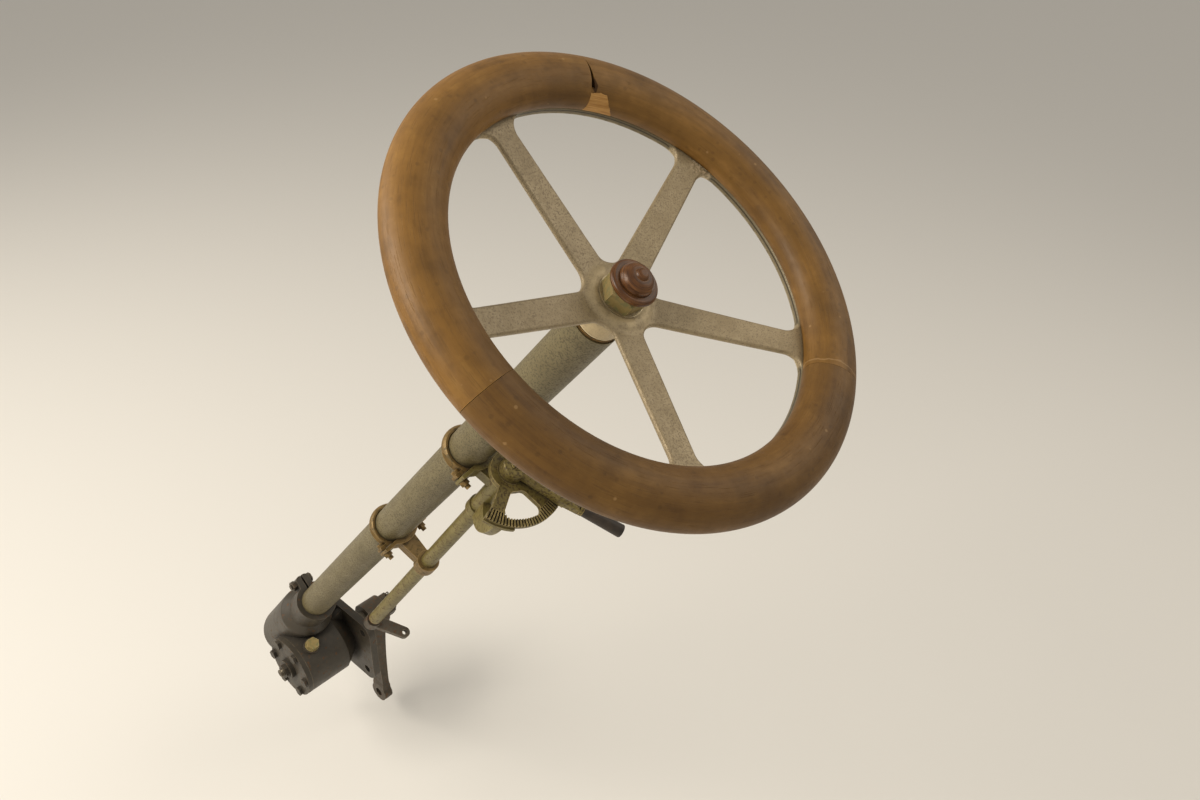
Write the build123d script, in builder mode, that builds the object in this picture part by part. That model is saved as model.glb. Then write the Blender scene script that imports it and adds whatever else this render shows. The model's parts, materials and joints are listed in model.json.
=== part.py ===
# Steering wheel and column of a brass era car, with its control lever and steering box.
# Millimetres. X points to the car's right, Y forward and Z up. The origin is on the steering
# box's mounting face, where the sector shaft passes through the chassis rail.

import os
from math import atan2, cos, degrees, radians, sin, sqrt, tan

from build123d import *

os.makedirs("parts", exist_ok=True)

# Driving dimensions of the whole

rake = 38.0  # column's lean from the vertical, degrees
wheel_reach = 1060.0  # from the sector shaft's level up the column to the middle of the rim
column_inset = 62.0  # column's axis to the chassis rail's face
worm_offset = 58.0  # column's axis to the sector shaft's axis
seat = 0.05  # gap between pieces that are fixed in each other
running = 0.05  # radial clearance of a shaft in its bearing
end_float = 0.6  # gap between a turning piece and the face it turns on
bolt_hole_gap = 0.3  # radial clearance of a bolt in its hole
cut_reach = 200.0  # cutting shapes reach past the pieces they cut
near = 1.0  # a corner or an edge this close to a place counts as being there

# Driving dimensions of the wheel; heights are from the middle of the rim, up is positive

rim_radius = 205.0
rim_width = 47.2  # radial
rim_depth = 36.6  # along the column
rim_seam = 0.3
rim_joints = (68.0, 188.0, 306.0)  # where the three pieces of wood meet, degrees
crack_tip = 192.0  # the first joint has split open, from this radius inwards
crack_length = 27.0  # radial
crack_width = 3.8  # at its inner end
crack_floor = 5.0  # height of its floor

spoke_count = 5
spoke_angle = 27.8  # first spoke, degrees
spoke_root_width = 27.0
spoke_tip_width = 22.5
spoke_thickness = 5.0
spoke_root_radius = 31.0
spoke_root_height = -35.8  # top face of the spoke at its root
spoke_edge = 2.2  # rounding of the spokes' upper edges
spoke_lower_edge = 1.6
hub_fillet = 14.0
ring_fillet = 14.0

ring_inner_radius = 160.3
ring_width = 26.7
ring_top = -7.0
ring_thickness = 7.0
ring_blend = 60.0  # radius where the spokes bend into the ring
ring_step = 4.0  # the spokes' underside drops to the ring's over this length

hub_crown_radius = 25.5
hub_crown_height = -33.4
hub_blend = 9.0  # radius where the crown bends into the spokes
nut_seat_radius = 20.0
nut_seat_height = -34.0
hub_boss_radius = 20.5
hub_flare = 10.0  # fillet between the boss and the underside of the spokes
hub_bottom = -70.0

washer_thickness = 1.4
nut_across_flats = 33.6
nut_height = 14.0
nut_turn = -4.0  # degrees, how the nut came to rest
nut_chamfer = 2.2

knob_foot_radius = 15.5
knob_foot_height = 1.4
bead_radius = 21.0
bead_thickness = 6.4
bead_shoulder_radius = 17.4
dome_radius = 15.0
dome_height = 9.0
dome_bulge = 1.9
button_radius = 5.9
button_height = 3.0
button_flat_radius = 1.2
button_bulge = 0.7
knob_socket = 6.5

# Driving dimensions of the column; distances are down the column from the middle of the rim

shaft_radius = 11.0
shaft_nose_radius = 9.5
tube_radius = 22.2
tube_wall = 2.5
bush_length = 32.0
bush_rim = 2.4
bush_rim_radius = 20.8

clip_wall = 6.0
clip_width = 10.8
clip_crown = 2.4  # how far the strap's outer face bulges
clip_chamfer = 1.2
upper_clip_drop = 352.5  # lower face of the upper clip
lower_clip_drop = 595.0  # lower face of the lower clip
saddle_width = 19.0
parting_depth = 16.8  # from the column's axis to the parting of strap and saddle
parting_gap = 1.0
ear_reach = 34.2  # from the column's axis, sideways
ear_thickness = 4.4
ear_corner = 1.5
arm_root_width = 22.0
arm_tip_width = 15.5
arm_height = 14.0

clip_bolt_offset = 29.0
clip_bolt_radius = 2.8
clip_bolt_head_radius = 4.6
clip_bolt_head_height = 3.4
clip_nut_flats = 9.6
clip_nut_height = 5.2
clip_thread_stub = 4.2

# Driving dimensions of the control shaft, which spreads away from the column as it goes down

control_side = -81.0  # direction from the column to the control shaft, degrees
control_offset = 46.0  # from the column's axis, at the lever
control_splay = 3.4  # degrees
lever_drop = 303.0  # lever's middle, down the column from the middle of the rim
control_radius = 5.0
control_tube_radius = 9.3
control_tube_wall = 1.6
control_tube_length = 415.0
foot_bush_length = 14.0
foot_bush_rim = 2.0
foot_drop = 16.0  # foot arm's middle, below the end of the tube
tube_ring_wall = 4.6
tube_ring_width = 17.0

sleeve_radius = 11.0
sleeve_top = 13.0  # below the lever's middle
sleeve_length = 84.0
collar_radius = 13.0
collar_length = 13.0
collar_socket = 9.0

quadrant_top = 9.0  # toothed face, below the lever's middle
quadrant_radius = 60.0
quadrant_band = 8.0
quadrant_thickness = 6.0
quadrant_start = -74.0  # degrees from the direction away from the column
quadrant_sweep = 90.0
quadrant_hub_radius = 22.6
quadrant_boss_radius = 15.0
quadrant_boss_drop = 6.0  # below the plate, round the sleeve
quadrant_window_fillet = 7.0
quadrant_corner = 2.0
left_arm_angle = -65.0
left_arm_width = 13.3
right_arm_angle = 4.5
right_arm_width = 15.0
notch_pitch = 3.3  # degrees
notch_width = 1.7
notch_depth = 2.4

brace_angle = -58.0
brace_thickness = 9.0
brace_foot = 107.0  # lower end on the sleeve, below the lever's middle
brace_throat = 72.0  # upper end on the sleeve
brace_bow = 9.0  # how far the brace bends outwards
pad_start = -74.0
pad_sweep = 32.0
pad_radius = 61.5
pad_width = 10.5
pad_thickness = 4.5

lever_rest = 15.0  # degrees from the direction away from the column
lever_boss_radius = 14.0
lever_boss_height = 14.0
lever_boss_drop = 8.0  # boss below the lever's middle
lever_boss_round = 2.5
lever_socket = 3.0
lever_thickness = 11.0
lever_round = 2.2
lever_root_width = 14.5
lever_bend_width = 12.0
lever_tip_width = 11.0
lever_bend_reach = 62.0  # from the control shaft's axis to the bend
lever_bend = 6.2  # degrees
lever_tail = 16.5  # from the bend to the ferrule
tooth_gap = 0.4
tooth_length = 6.0
tooth_width = 3.0
pawl_length = 15.0
pawl_width = 9.0
pawl_gap = 1.4  # between the pawl's block and the toothed face
ferrule_radius = 6.6
ferrule_length = 4.0
grip_length = 47.0
grip_radius = 7.2
grip_neck_radius = 6.2
grip_end_round = 1.8

foot_rest = 26.0
foot_arm_length = 48.0
foot_arm_thickness = 7.0
foot_hub_radius = 11.0
foot_hub_length = 18.0
foot_web = 17.0  # arm's width at the hub
foot_eye_radius = 8.0
foot_hole_radius = 3.2

# Driving dimensions of the steering box, drop arm and their shaft

barrel_radius = 40.0
barrel_top = 58.0  # above the sector shaft's level
barrel_bottom = 68.0  # below it
barrel_round = 6.0
neck_radius = 30.0
neck_length = 44.0
neck_slope = 14.0
tube_socket = 40.0
shaft_foot = 52.0  # shaft's end, below the sector shaft's level

clamp_slot = 3.0
clamp_slot_length = 30.0
clamp_lug_thickness = 9.0
clamp_lug_reach = 16.0
clamp_lug_height = 22.0
clamp_lug_corner = 7.0
clamp_bolt_radius = 4.0
clamp_bolt_flats = 13.0
clamp_bolt_head = 5.5
clamp_nut_height = 6.5
clamp_bolt_stub = 2.0

sector_case_radius = 50.0
sector_case_half_width = 42.0
sector_case_neck_radius = 34.0
sector_shoulder = 14.0  # from the barrel's side to where the case narrows
rib_thickness = 9.0
rib_height = 54.0
rib_length = 30.0
flange_thickness = 12.0
flange_width = 152.0  # along Y
flange_height = 118.0  # along Z
flange_corner = 18.0
flange_hole_radius = 6.5
flange_hole_spacing_y = 116.0
flange_hole_spacing_z = 82.0

filler_angle = 30.0  # oil filler, from the vertical towards the driver, degrees
filler_inset = 84.0
filler_radius = 12.0
filler_top = 57.0
plug_rim_radius = 10.5
plug_rim_height = 1.4
plug_flats = 17.0
plug_height = 8.0

cover_thickness = 8.0
cover_boss_radius = 16.0
cover_boss_height = 7.0
cover_bolt_count = 6
cover_bolt_flats = 13.0
cover_bolt_head = 5.2
cover_bolt_inset = 8.0
adjuster_flats = 19.0
adjuster_nut_height = 6.0
adjuster_radius = 6.0
adjuster_stub = 5.0
cap_radius = 31.0
cap_height = 12.0
cap_across_flats = 30.0
cap_hexagon_height = 12.0

sector_shaft_radius = 14.0
drop_arm_start = 30.0  # drop arm's hub, outside the chassis rail's face
drop_arm_hub_length = 34.0
drop_arm_hub_radius = 25.0
drop_arm_length = 190.0
drop_arm_waist = 13.0  # half the arm's width at its narrowest
drop_arm_root_half = 21.0
drop_arm_tip_half = 15.0
drop_arm_web = 20.0  # thickness below the hub
drop_arm_tip_web = 13.0  # thickness above the eye
drop_arm_shoulder = 10.0
drop_arm_eye_radius = 18.0
drop_arm_eye_thickness = 16.0
drop_arm_hole_radius = 8.0
drop_nut_across_flats = 36.0
drop_nut_height = 18.0
drop_nut_slot_depth = 6.0
drop_nut_slot_width = 5.0
thread_stub = 4.0

# Sizes that follow from the driving dimensions

rim_centre_radius = rim_radius - rim_width / 2
ring_outer_radius = ring_inner_radius + ring_width
ring_bottom = ring_top - ring_thickness
nut_bottom = nut_seat_height + washer_thickness
nut_top = nut_bottom + nut_height
bead_top = knob_foot_height + bead_thickness
dome_top = bead_top + dome_height
knob_top = dome_top + button_height
clip_inner_radius = tube_radius + seat
clip_outer_radius = clip_inner_radius + clip_wall
tube_bore = tube_radius - tube_wall
tube_top = hub_bottom - end_float - bush_rim
control_bore = control_tube_radius - control_tube_wall
collar_bottom = sleeve_top + sleeve_length + collar_length
control_tube_top = collar_bottom - collar_socket
control_tube_end = control_tube_top + control_tube_length
foot_level = control_tube_end + foot_drop
quadrant_inner_radius = quadrant_radius - quadrant_band
quadrant_bottom = quadrant_top + quadrant_thickness
arc_middle_radius = quadrant_radius - quadrant_band / 2
lever_boss_top = lever_boss_height - lever_boss_drop
sector_case_start = -column_inset - sector_case_half_width
drop_arm_end = drop_arm_start + drop_arm_hub_length
drop_arm_middle = drop_arm_start + drop_arm_hub_length / 2
neck_bottom = barrel_top + neck_slope
neck_top = neck_bottom + neck_length
socket_bottom = neck_top - tube_socket


# Frames

def turned(plane, angle):
    """The same plane with its x axis turned about its normal."""
    x_dir = plane.x_dir * cos(radians(angle)) + plane.y_dir * sin(radians(angle))
    return Plane(origin=plane.origin, x_dir=x_dir, z_dir=plane.z_dir)


def upright(plane):
    """The plane through a plane's x axis and its normal, which becomes the y axis."""
    return Plane(origin=plane.origin, x_dir=plane.x_dir, z_dir=plane.x_dir.cross(plane.z_dir))


def facing(plane, distance, height=0.0):
    """A plane square to a plane's x axis, at a distance along it and a height above it."""
    origin = plane.from_local_coords(Vector(distance, 0, height))
    return Plane(origin=origin, x_dir=plane.y_dir, z_dir=plane.x_dir)


def axis_of(plane):
    """The axis through a plane's origin along its normal."""
    return Axis(plane.origin, plane.z_dir)


column = Plane(
    origin=(-column_inset, worm_offset * cos(radians(rake)), worm_offset * sin(radians(rake))),
    x_dir=(1, 0, 0),
    z_dir=(0, -sin(radians(rake)), cos(radians(rake))),
)
wheel = column.offset(wheel_reach)

outward = turned(column, control_side).x_dir
control = Plane(
    origin=wheel.offset(-lever_drop).origin + outward * control_offset,
    x_dir=outward * cos(radians(control_splay)) + column.z_dir * sin(radians(control_splay)),
    z_dir=column.z_dir * cos(radians(control_splay)) - outward * sin(radians(control_splay)),
)
lever_frame = turned(control, lever_rest)
bend_point = lever_frame.from_local_coords(Vector(lever_bend_reach, 0, 0))
tail_frame = turned(Plane(bend_point, x_dir=lever_frame.x_dir, z_dir=lever_frame.z_dir), lever_bend)
foot_frame = turned(control.offset(-foot_level), foot_rest)
sector_axis = Axis.X
rail_face = Plane.YZ


def finish(builder, name):
    """Labels a finished piece and writes its file."""
    builder.part.label = name
    export_step(builder.part, f"parts/{name}.step")


# Rim: three pieces of bent wood with an oval section, rebated below for the metal ring

seam_angle = degrees(rim_seam / rim_centre_radius)
rim_names = ("rim_front", "rim_rear", "rim_right")
rim_ends = rim_joints[1:] + (rim_joints[0] + 360,)
crack_end = crack_tip - crack_length

for name, start, end in zip(rim_names, rim_joints, rim_ends):
    with BuildPart() as rim_piece:
        with BuildSketch(upright(turned(wheel, start + seam_angle / 2))):
            with Locations((rim_centre_radius, 0)):
                Ellipse(rim_width / 2, rim_depth / 2)
            with Locations((ring_outer_radius + seat, ring_top + seat)):
                Rectangle(rim_width, rim_depth, align=(Align.MAX, Align.MAX), mode=Mode.SUBTRACT)
        revolve(axis=axis_of(wheel), revolution_arc=end - start - seam_angle)
        if name == "rim_right":
            with BuildSketch(turned(wheel, end).offset(crack_floor)):
                Polygon(
                    (crack_tip, 0),
                    (crack_tip, near),
                    (crack_end, near),
                    (crack_end, -crack_width),
                    align=None,
                )
            extrude(amount=rim_depth, mode=Mode.SUBTRACT)
    finish(rim_piece, name)


# Spider: cast hub, five dished spokes and a ring, its plan cut to its dished section

spoke_end = ring_inner_radius + ring_width / 2
spoke_length = ring_inner_radius - spoke_root_radius
spoke_slope = (ring_top - spoke_root_height) / spoke_length
spoke_taper = (spoke_root_width - spoke_tip_width) / 2 / spoke_length
spoke_foot_half = spoke_root_width / 2 + spoke_taper * spoke_root_radius
spoke_end_half = spoke_root_width / 2 - spoke_taper * (spoke_end - spoke_root_radius)
root_bottom = spoke_root_height - spoke_thickness
boss_top = root_bottom + spoke_slope * (hub_boss_radius - spoke_root_radius)
step_bottom = ring_top - spoke_slope * ring_step - spoke_thickness


def reach(corner):
    """Distance of a sketch's corner from the sketch's origin."""
    return sqrt(corner.X**2 + corner.Y**2)


def is_at(corner, radius, height):
    """True for a corner of the spider's section at a radius and a height."""
    return abs(corner.X - radius) + abs(corner.Y - height) < near


def is_window_edge(edge, depth, outer_radius):
    """True for an edge along a window, at a depth below the spokes' top and within a radius."""
    middle = wheel.to_local_coords(edge.position_at(0.5))
    top = min(spoke_root_height + spoke_slope * (reach(middle) - spoke_root_radius), ring_top)
    half_pitch = 180 / spoke_count
    angle = degrees(atan2(middle.Y, middle.X)) - spoke_angle
    off_spoke = (angle + half_pitch) % (2 * half_pitch) - half_pitch
    beside_spoke = reach(middle) * abs(sin(radians(off_spoke))) > spoke_tip_width / 2 - near
    in_window = spoke_root_radius < reach(middle) < outer_radius
    return in_window and beside_spoke and abs(middle.Z - top + depth) < near


with BuildPart() as wheel_spider:
    with BuildSketch(wheel.offset(hub_bottom)):
        Circle(ring_outer_radius)
        Circle(ring_inner_radius, mode=Mode.SUBTRACT)
        with PolarLocations(0, spoke_count, start_angle=spoke_angle):
            Polygon(
                (0, -spoke_foot_half),
                (spoke_end, -spoke_end_half),
                (spoke_end, spoke_end_half),
                (0, spoke_foot_half),
                align=None,
            )
        fillet([c for c in vertices() if reach(c) < spoke_root_radius], hub_fillet)
        fillet([c for c in vertices() if abs(reach(c) - ring_inner_radius) < near], ring_fillet)
    extrude(amount=rim_radius)
    with BuildSketch(upright(turned(wheel, spoke_angle))):
        with BuildLine():
            Line((shaft_nose_radius + seat, nut_seat_height), (nut_seat_radius, nut_seat_height))
            ThreePointArc(
                (nut_seat_radius, nut_seat_height),
                (hub_crown_radius, hub_crown_height),
                (spoke_root_radius, spoke_root_height),
            )
            Polyline(
                (spoke_root_radius, spoke_root_height),
                (ring_inner_radius, ring_top),
                (ring_outer_radius, ring_top),
                (ring_outer_radius, ring_bottom),
                (ring_inner_radius, ring_bottom),
                (ring_inner_radius - ring_step, step_bottom),
                (hub_boss_radius, boss_top),
                (hub_boss_radius, hub_bottom),
                (shaft_nose_radius + seat, hub_bottom),
                (shaft_nose_radius + seat, nut_seat_height),
            )
        make_face()
        fillet([c for c in vertices() if is_at(c, ring_inner_radius, ring_top)], ring_blend)
        fillet([c for c in vertices() if is_at(c, spoke_root_radius, spoke_root_height)], hub_blend)
        fillet([c for c in vertices() if is_at(c, hub_boss_radius, boss_top)], hub_flare)
    revolve(axis=axis_of(wheel), mode=Mode.INTERSECT)
    fillet([e for e in edges() if is_window_edge(e, 0, ring_inner_radius + near)], spoke_edge)
    underside = [e for e in edges() if is_window_edge(e, spoke_thickness, ring_inner_radius - ring_step)]
    fillet(underside, spoke_lower_edge)
finish(wheel_spider, "wheel_spider")


# Washer and nut that hold the wheel on its shaft

with BuildPart() as wheel_washer:
    with BuildSketch(wheel.offset(nut_seat_height + seat)):
        Circle(nut_seat_radius - seat)
        Circle(shaft_nose_radius + seat, mode=Mode.SUBTRACT)
    extrude(amount=washer_thickness - seat)
finish(wheel_washer, "wheel_washer")


def hex_nut(plane, across_flats, height, bore, slot_width=0.0, slot_depth=0.0):
    """A hexagon nut on a plane, its upper corners turned off and its top slotted if asked for."""
    corner_radius = across_flats / 2 / cos(radians(30))
    with BuildPart() as nut:
        with BuildSketch(plane):
            RegularPolygon(across_flats / 2, 6, major_radius=False)
            Circle(bore, mode=Mode.SUBTRACT)
        extrude(amount=height)
        with BuildSketch(upright(plane)):
            Polygon(
                (0, 0),
                (corner_radius, 0),
                (corner_radius, height - nut_chamfer),
                (across_flats / 2, height),
                (0, height),
                align=None,
            )
        revolve(axis=axis_of(plane), mode=Mode.INTERSECT)
        if slot_depth > 0:
            with BuildSketch(plane.offset(height - slot_depth)):
                with PolarLocations(0, 3, start_angle=30):
                    Rectangle(across_flats * 2, slot_width)
            extrude(amount=slot_depth, mode=Mode.SUBTRACT)
    return nut


wheel_nut = hex_nut(
    turned(wheel.offset(nut_bottom), nut_turn), nut_across_flats, nut_height, shaft_nose_radius + seat
)
finish(wheel_nut, "wheel_nut")


# Knob: turned wood, with a bead, a dome and a small button, on the shaft's end

dome_middle = ((dome_radius + button_radius) / 2 + dome_bulge, (bead_top + dome_top) / 2 + dome_bulge)
button_mean_radius = (button_radius + button_flat_radius) / 2
button_middle = (button_mean_radius + button_bulge, (dome_top + knob_top) / 2 + button_bulge)

with BuildPart() as hub_knob:
    with BuildSketch(upright(wheel.offset(nut_top))):
        with BuildLine():
            Polyline(
                (shaft_nose_radius + seat, 0),
                (knob_foot_radius, 0),
                (knob_foot_radius, knob_foot_height),
                (bead_shoulder_radius, knob_foot_height),
            )
            ThreePointArc(
                (bead_shoulder_radius, knob_foot_height),
                (bead_radius, knob_foot_height + bead_thickness / 2),
                (bead_shoulder_radius, bead_top),
            )
            Line((bead_shoulder_radius, bead_top), (dome_radius, bead_top))
            ThreePointArc((dome_radius, bead_top), dome_middle, (button_radius, dome_top))
            ThreePointArc((button_radius, dome_top), button_middle, (button_flat_radius, knob_top))
            Polyline(
                (button_flat_radius, knob_top),
                (0, knob_top),
                (0, knob_socket),
                (shaft_nose_radius + seat, knob_socket),
                (shaft_nose_radius + seat, 0),
            )
        make_face()
    revolve(axis=axis_of(wheel))
finish(hub_knob, "hub_knob")


# Steering shaft: from the box to the knob, with a nose of smaller radius for the wheel

shaft_end = nut_top + knob_socket - seat

with BuildPart() as steering_shaft:
    with BuildSketch(upright(column)):
        Polygon(
            (0, -shaft_foot),
            (shaft_radius, -shaft_foot),
            (shaft_radius, wheel_reach + hub_bottom - seat),
            (shaft_nose_radius, wheel_reach + hub_bottom - seat),
            (shaft_nose_radius, wheel_reach + shaft_end),
            (0, wheel_reach + shaft_end),
            align=None,
        )
    revolve(axis=axis_of(column))
finish(steering_shaft, "steering_shaft")


# Column tube and the bush in its top

with BuildPart() as column_tube:
    with BuildSketch(column.offset(socket_bottom + seat)):
        Circle(tube_radius)
        Circle(tube_bore, mode=Mode.SUBTRACT)
    extrude(amount=wheel_reach + tube_top - socket_bottom - seat)
finish(column_tube, "column_tube")

with BuildPart() as column_top_bush:
    with BuildSketch(wheel.offset(tube_top)):
        Circle(bush_rim_radius)
        Circle(shaft_radius + running, mode=Mode.SUBTRACT)
    extrude(amount=bush_rim)
    with BuildSketch(wheel.offset(tube_top)):
        Circle(tube_bore - seat)
        Circle(shaft_radius + running, mode=Mode.SUBTRACT)
    extrude(amount=-bush_length)
finish(column_top_bush, "column_top_bush")


# Clips: a half-round strap over the column is bolted at two ears to a saddle with an arm.
# A clip's plane is its lower face; its x axis points from the column to the control shaft.

upper_clip = turned(wheel.offset(-upper_clip_drop), control_side)
lower_clip = turned(wheel.offset(-lower_clip_drop), control_side)
strap_face = parting_depth - parting_gap / 2
saddle_face = parting_depth + parting_gap / 2
head_seat = strap_face - ear_thickness
nut_face = saddle_face + ear_thickness
arm_root = clip_outer_radius - clip_wall / 2


def ear_plate(side):
    """In a sketch: a plate with rounded ends on one side (-1 or 1) of the parting."""
    with Locations((parting_depth + side * (parting_gap + ear_thickness) / 2, 0)):
        RectangleRounded(ear_thickness, 2 * ear_reach, ear_corner)


def ear_bars(plane, depth, radius, length):
    """A pair of round bars at a clip's bolts, from a depth below the column's axis."""
    with BuildPart() as bars:
        with BuildSketch(facing(plane, depth, clip_width / 2)):
            with Locations((-clip_bolt_offset, 0), (clip_bolt_offset, 0)):
                Circle(radius)
        extrude(amount=length)
    return bars.part


def strap(plane):
    """The half of a clip that goes over the column."""
    with BuildPart() as half:
        with BuildSketch(upright(plane)):
            with BuildLine():
                Polyline(
                    (clip_outer_radius - clip_crown, 0),
                    (clip_inner_radius + clip_chamfer, 0),
                    (clip_inner_radius, clip_chamfer),
                    (clip_inner_radius, clip_width - clip_chamfer),
                    (clip_inner_radius + clip_chamfer, clip_width),
                    (clip_outer_radius - clip_crown, clip_width),
                )
                ThreePointArc(
                    (clip_outer_radius - clip_crown, clip_width),
                    (clip_outer_radius, clip_width / 2),
                    (clip_outer_radius - clip_crown, 0),
                )
            make_face()
        revolve(axis=axis_of(plane))
        with BuildSketch(plane):
            ear_plate(-1)
            Circle(clip_inner_radius + clip_chamfer, mode=Mode.SUBTRACT)
        extrude(amount=clip_width)
        with BuildSketch(plane):
            with Locations((strap_face, 0)):
                Rectangle(cut_reach, cut_reach, align=(Align.MIN, Align.CENTER))
        extrude(amount=clip_width, mode=Mode.SUBTRACT)
        add(ear_bars(plane, 0, clip_bolt_radius + bolt_hole_gap, ear_reach), mode=Mode.SUBTRACT)
        spot_faces = ear_bars(plane, head_seat - ear_reach, clip_bolt_head_radius + bolt_hole_gap, ear_reach)
        add(spot_faces, mode=Mode.SUBTRACT)
    return half.part


def saddle(plane):
    """The half of a clip under the column, longer than the strap."""
    with BuildPart() as half:
        with BuildSketch(plane):
            Circle(clip_outer_radius)
            ear_plate(1)
            Circle(clip_inner_radius, mode=Mode.SUBTRACT)
            with Locations((saddle_face, 0)):
                Rectangle(cut_reach, cut_reach, align=(Align.MAX, Align.CENTER), mode=Mode.SUBTRACT)
        extrude(amount=saddle_width)
        add(ear_bars(plane, 0, clip_bolt_radius + bolt_hole_gap, ear_reach), mode=Mode.SUBTRACT)
    return half.part


def clip_arm(offset):
    """In a sketch on a clip's plane: the arm from the saddle to the control shaft's sleeve or ring."""
    Polygon(
        (arm_root, -arm_root_width / 2),
        (offset, -arm_tip_width / 2),
        (offset, arm_tip_width / 2),
        (arm_root, arm_root_width / 2),
        align=None,
    )


for clip_plane, name in ((upper_clip, "upper_strap"), (lower_clip, "lower_strap")):
    with BuildPart() as clip_strap:
        add(strap(clip_plane))
    finish(clip_strap, name)


# Bolts of the clips: a round head on the strap's ear, a nut and a thread end under the saddle's

clip_bolt_length = nut_face - head_seat + clip_nut_height + clip_thread_stub
head_top = head_seat - clip_bolt_head_height

for clip_plane, name in ((upper_clip, "upper_clip_bolts"), (lower_clip, "lower_clip_bolts")):
    with BuildPart() as clip_bolts:
        add(ear_bars(clip_plane, head_top, clip_bolt_head_radius, clip_bolt_head_height))
        add(ear_bars(clip_plane, head_seat, clip_bolt_radius, clip_bolt_length))
        with BuildSketch(facing(clip_plane, nut_face, clip_width / 2)):
            with Locations((-clip_bolt_offset, 0), (clip_bolt_offset, 0)):
                RegularPolygon(clip_nut_flats / 2, 6, major_radius=False)
        extrude(amount=clip_nut_height)
    finish(clip_bolts, name)


# Quadrant bracket: saddle and arm, the sleeve that the control shaft turns in, and a bowed brace
# from the sleeve's foot up to a pad under the quadrant's arc

pad_top = quadrant_bottom + seat
pad_bottom = pad_top + pad_thickness
pad_inner_radius = pad_radius - pad_width
brace_root = (sleeve_radius + control_radius) / 2
brace_middle = ((brace_root + pad_radius) / 2 + brace_bow, -(brace_foot + pad_bottom) / 2 - brace_bow)
throat_radius = (brace_root + pad_inner_radius) / 2
throat_middle = (throat_radius + brace_bow, -(brace_throat + pad_bottom) / 2 - brace_bow)

with BuildPart() as quadrant_bracket:
    add(saddle(upper_clip))
    with BuildSketch(upper_clip):
        clip_arm(control_offset)
    extrude(amount=arm_height)
    with BuildSketch(control.offset(-sleeve_top)):
        Circle(sleeve_radius)
    extrude(amount=-sleeve_length)
    with BuildSketch(control.offset(-sleeve_top - sleeve_length)):
        Circle(collar_radius)
    extrude(amount=-collar_length)
    with BuildSketch(upright(turned(control, brace_angle))):
        with BuildLine():
            ThreePointArc((brace_root, -brace_foot), brace_middle, (pad_radius, -pad_bottom))
            Line((pad_radius, -pad_bottom), (pad_inner_radius, -pad_bottom))
            ThreePointArc((pad_inner_radius, -pad_bottom), throat_middle, (brace_root, -brace_throat))
            Line((brace_root, -brace_throat), (brace_root, -brace_foot))
        make_face()
    extrude(amount=brace_thickness / 2, both=True)
    with BuildSketch(control.offset(-pad_bottom)):
        with BuildLine():
            inner = CenterArc((0, 0), pad_inner_radius, pad_start, pad_sweep)
            outer = CenterArc((0, 0), pad_radius, pad_start, pad_sweep)
            Line(inner @ 0, outer @ 0)
            Line(inner @ 1, outer @ 1)
        make_face()
    extrude(amount=pad_thickness)
    with BuildSketch(control.offset(-sleeve_top)):
        Circle(control_radius + running)
    extrude(amount=-sleeve_length - collar_length, mode=Mode.SUBTRACT)
    with BuildSketch(control.offset(-collar_bottom)):
        Circle(control_tube_radius + seat)
    extrude(amount=collar_socket, mode=Mode.SUBTRACT)
finish(quadrant_bracket, "quadrant_bracket")


# Quadrant: hub plate, two arms and an arc with notches across its upper face. The window between
# them is cut out of a full sector, so that its corners can be rounded.

notch_count = int(quadrant_sweep / notch_pitch)
notch_first = quadrant_start + (quadrant_sweep - (notch_count - 1) * notch_pitch) / 2

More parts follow.
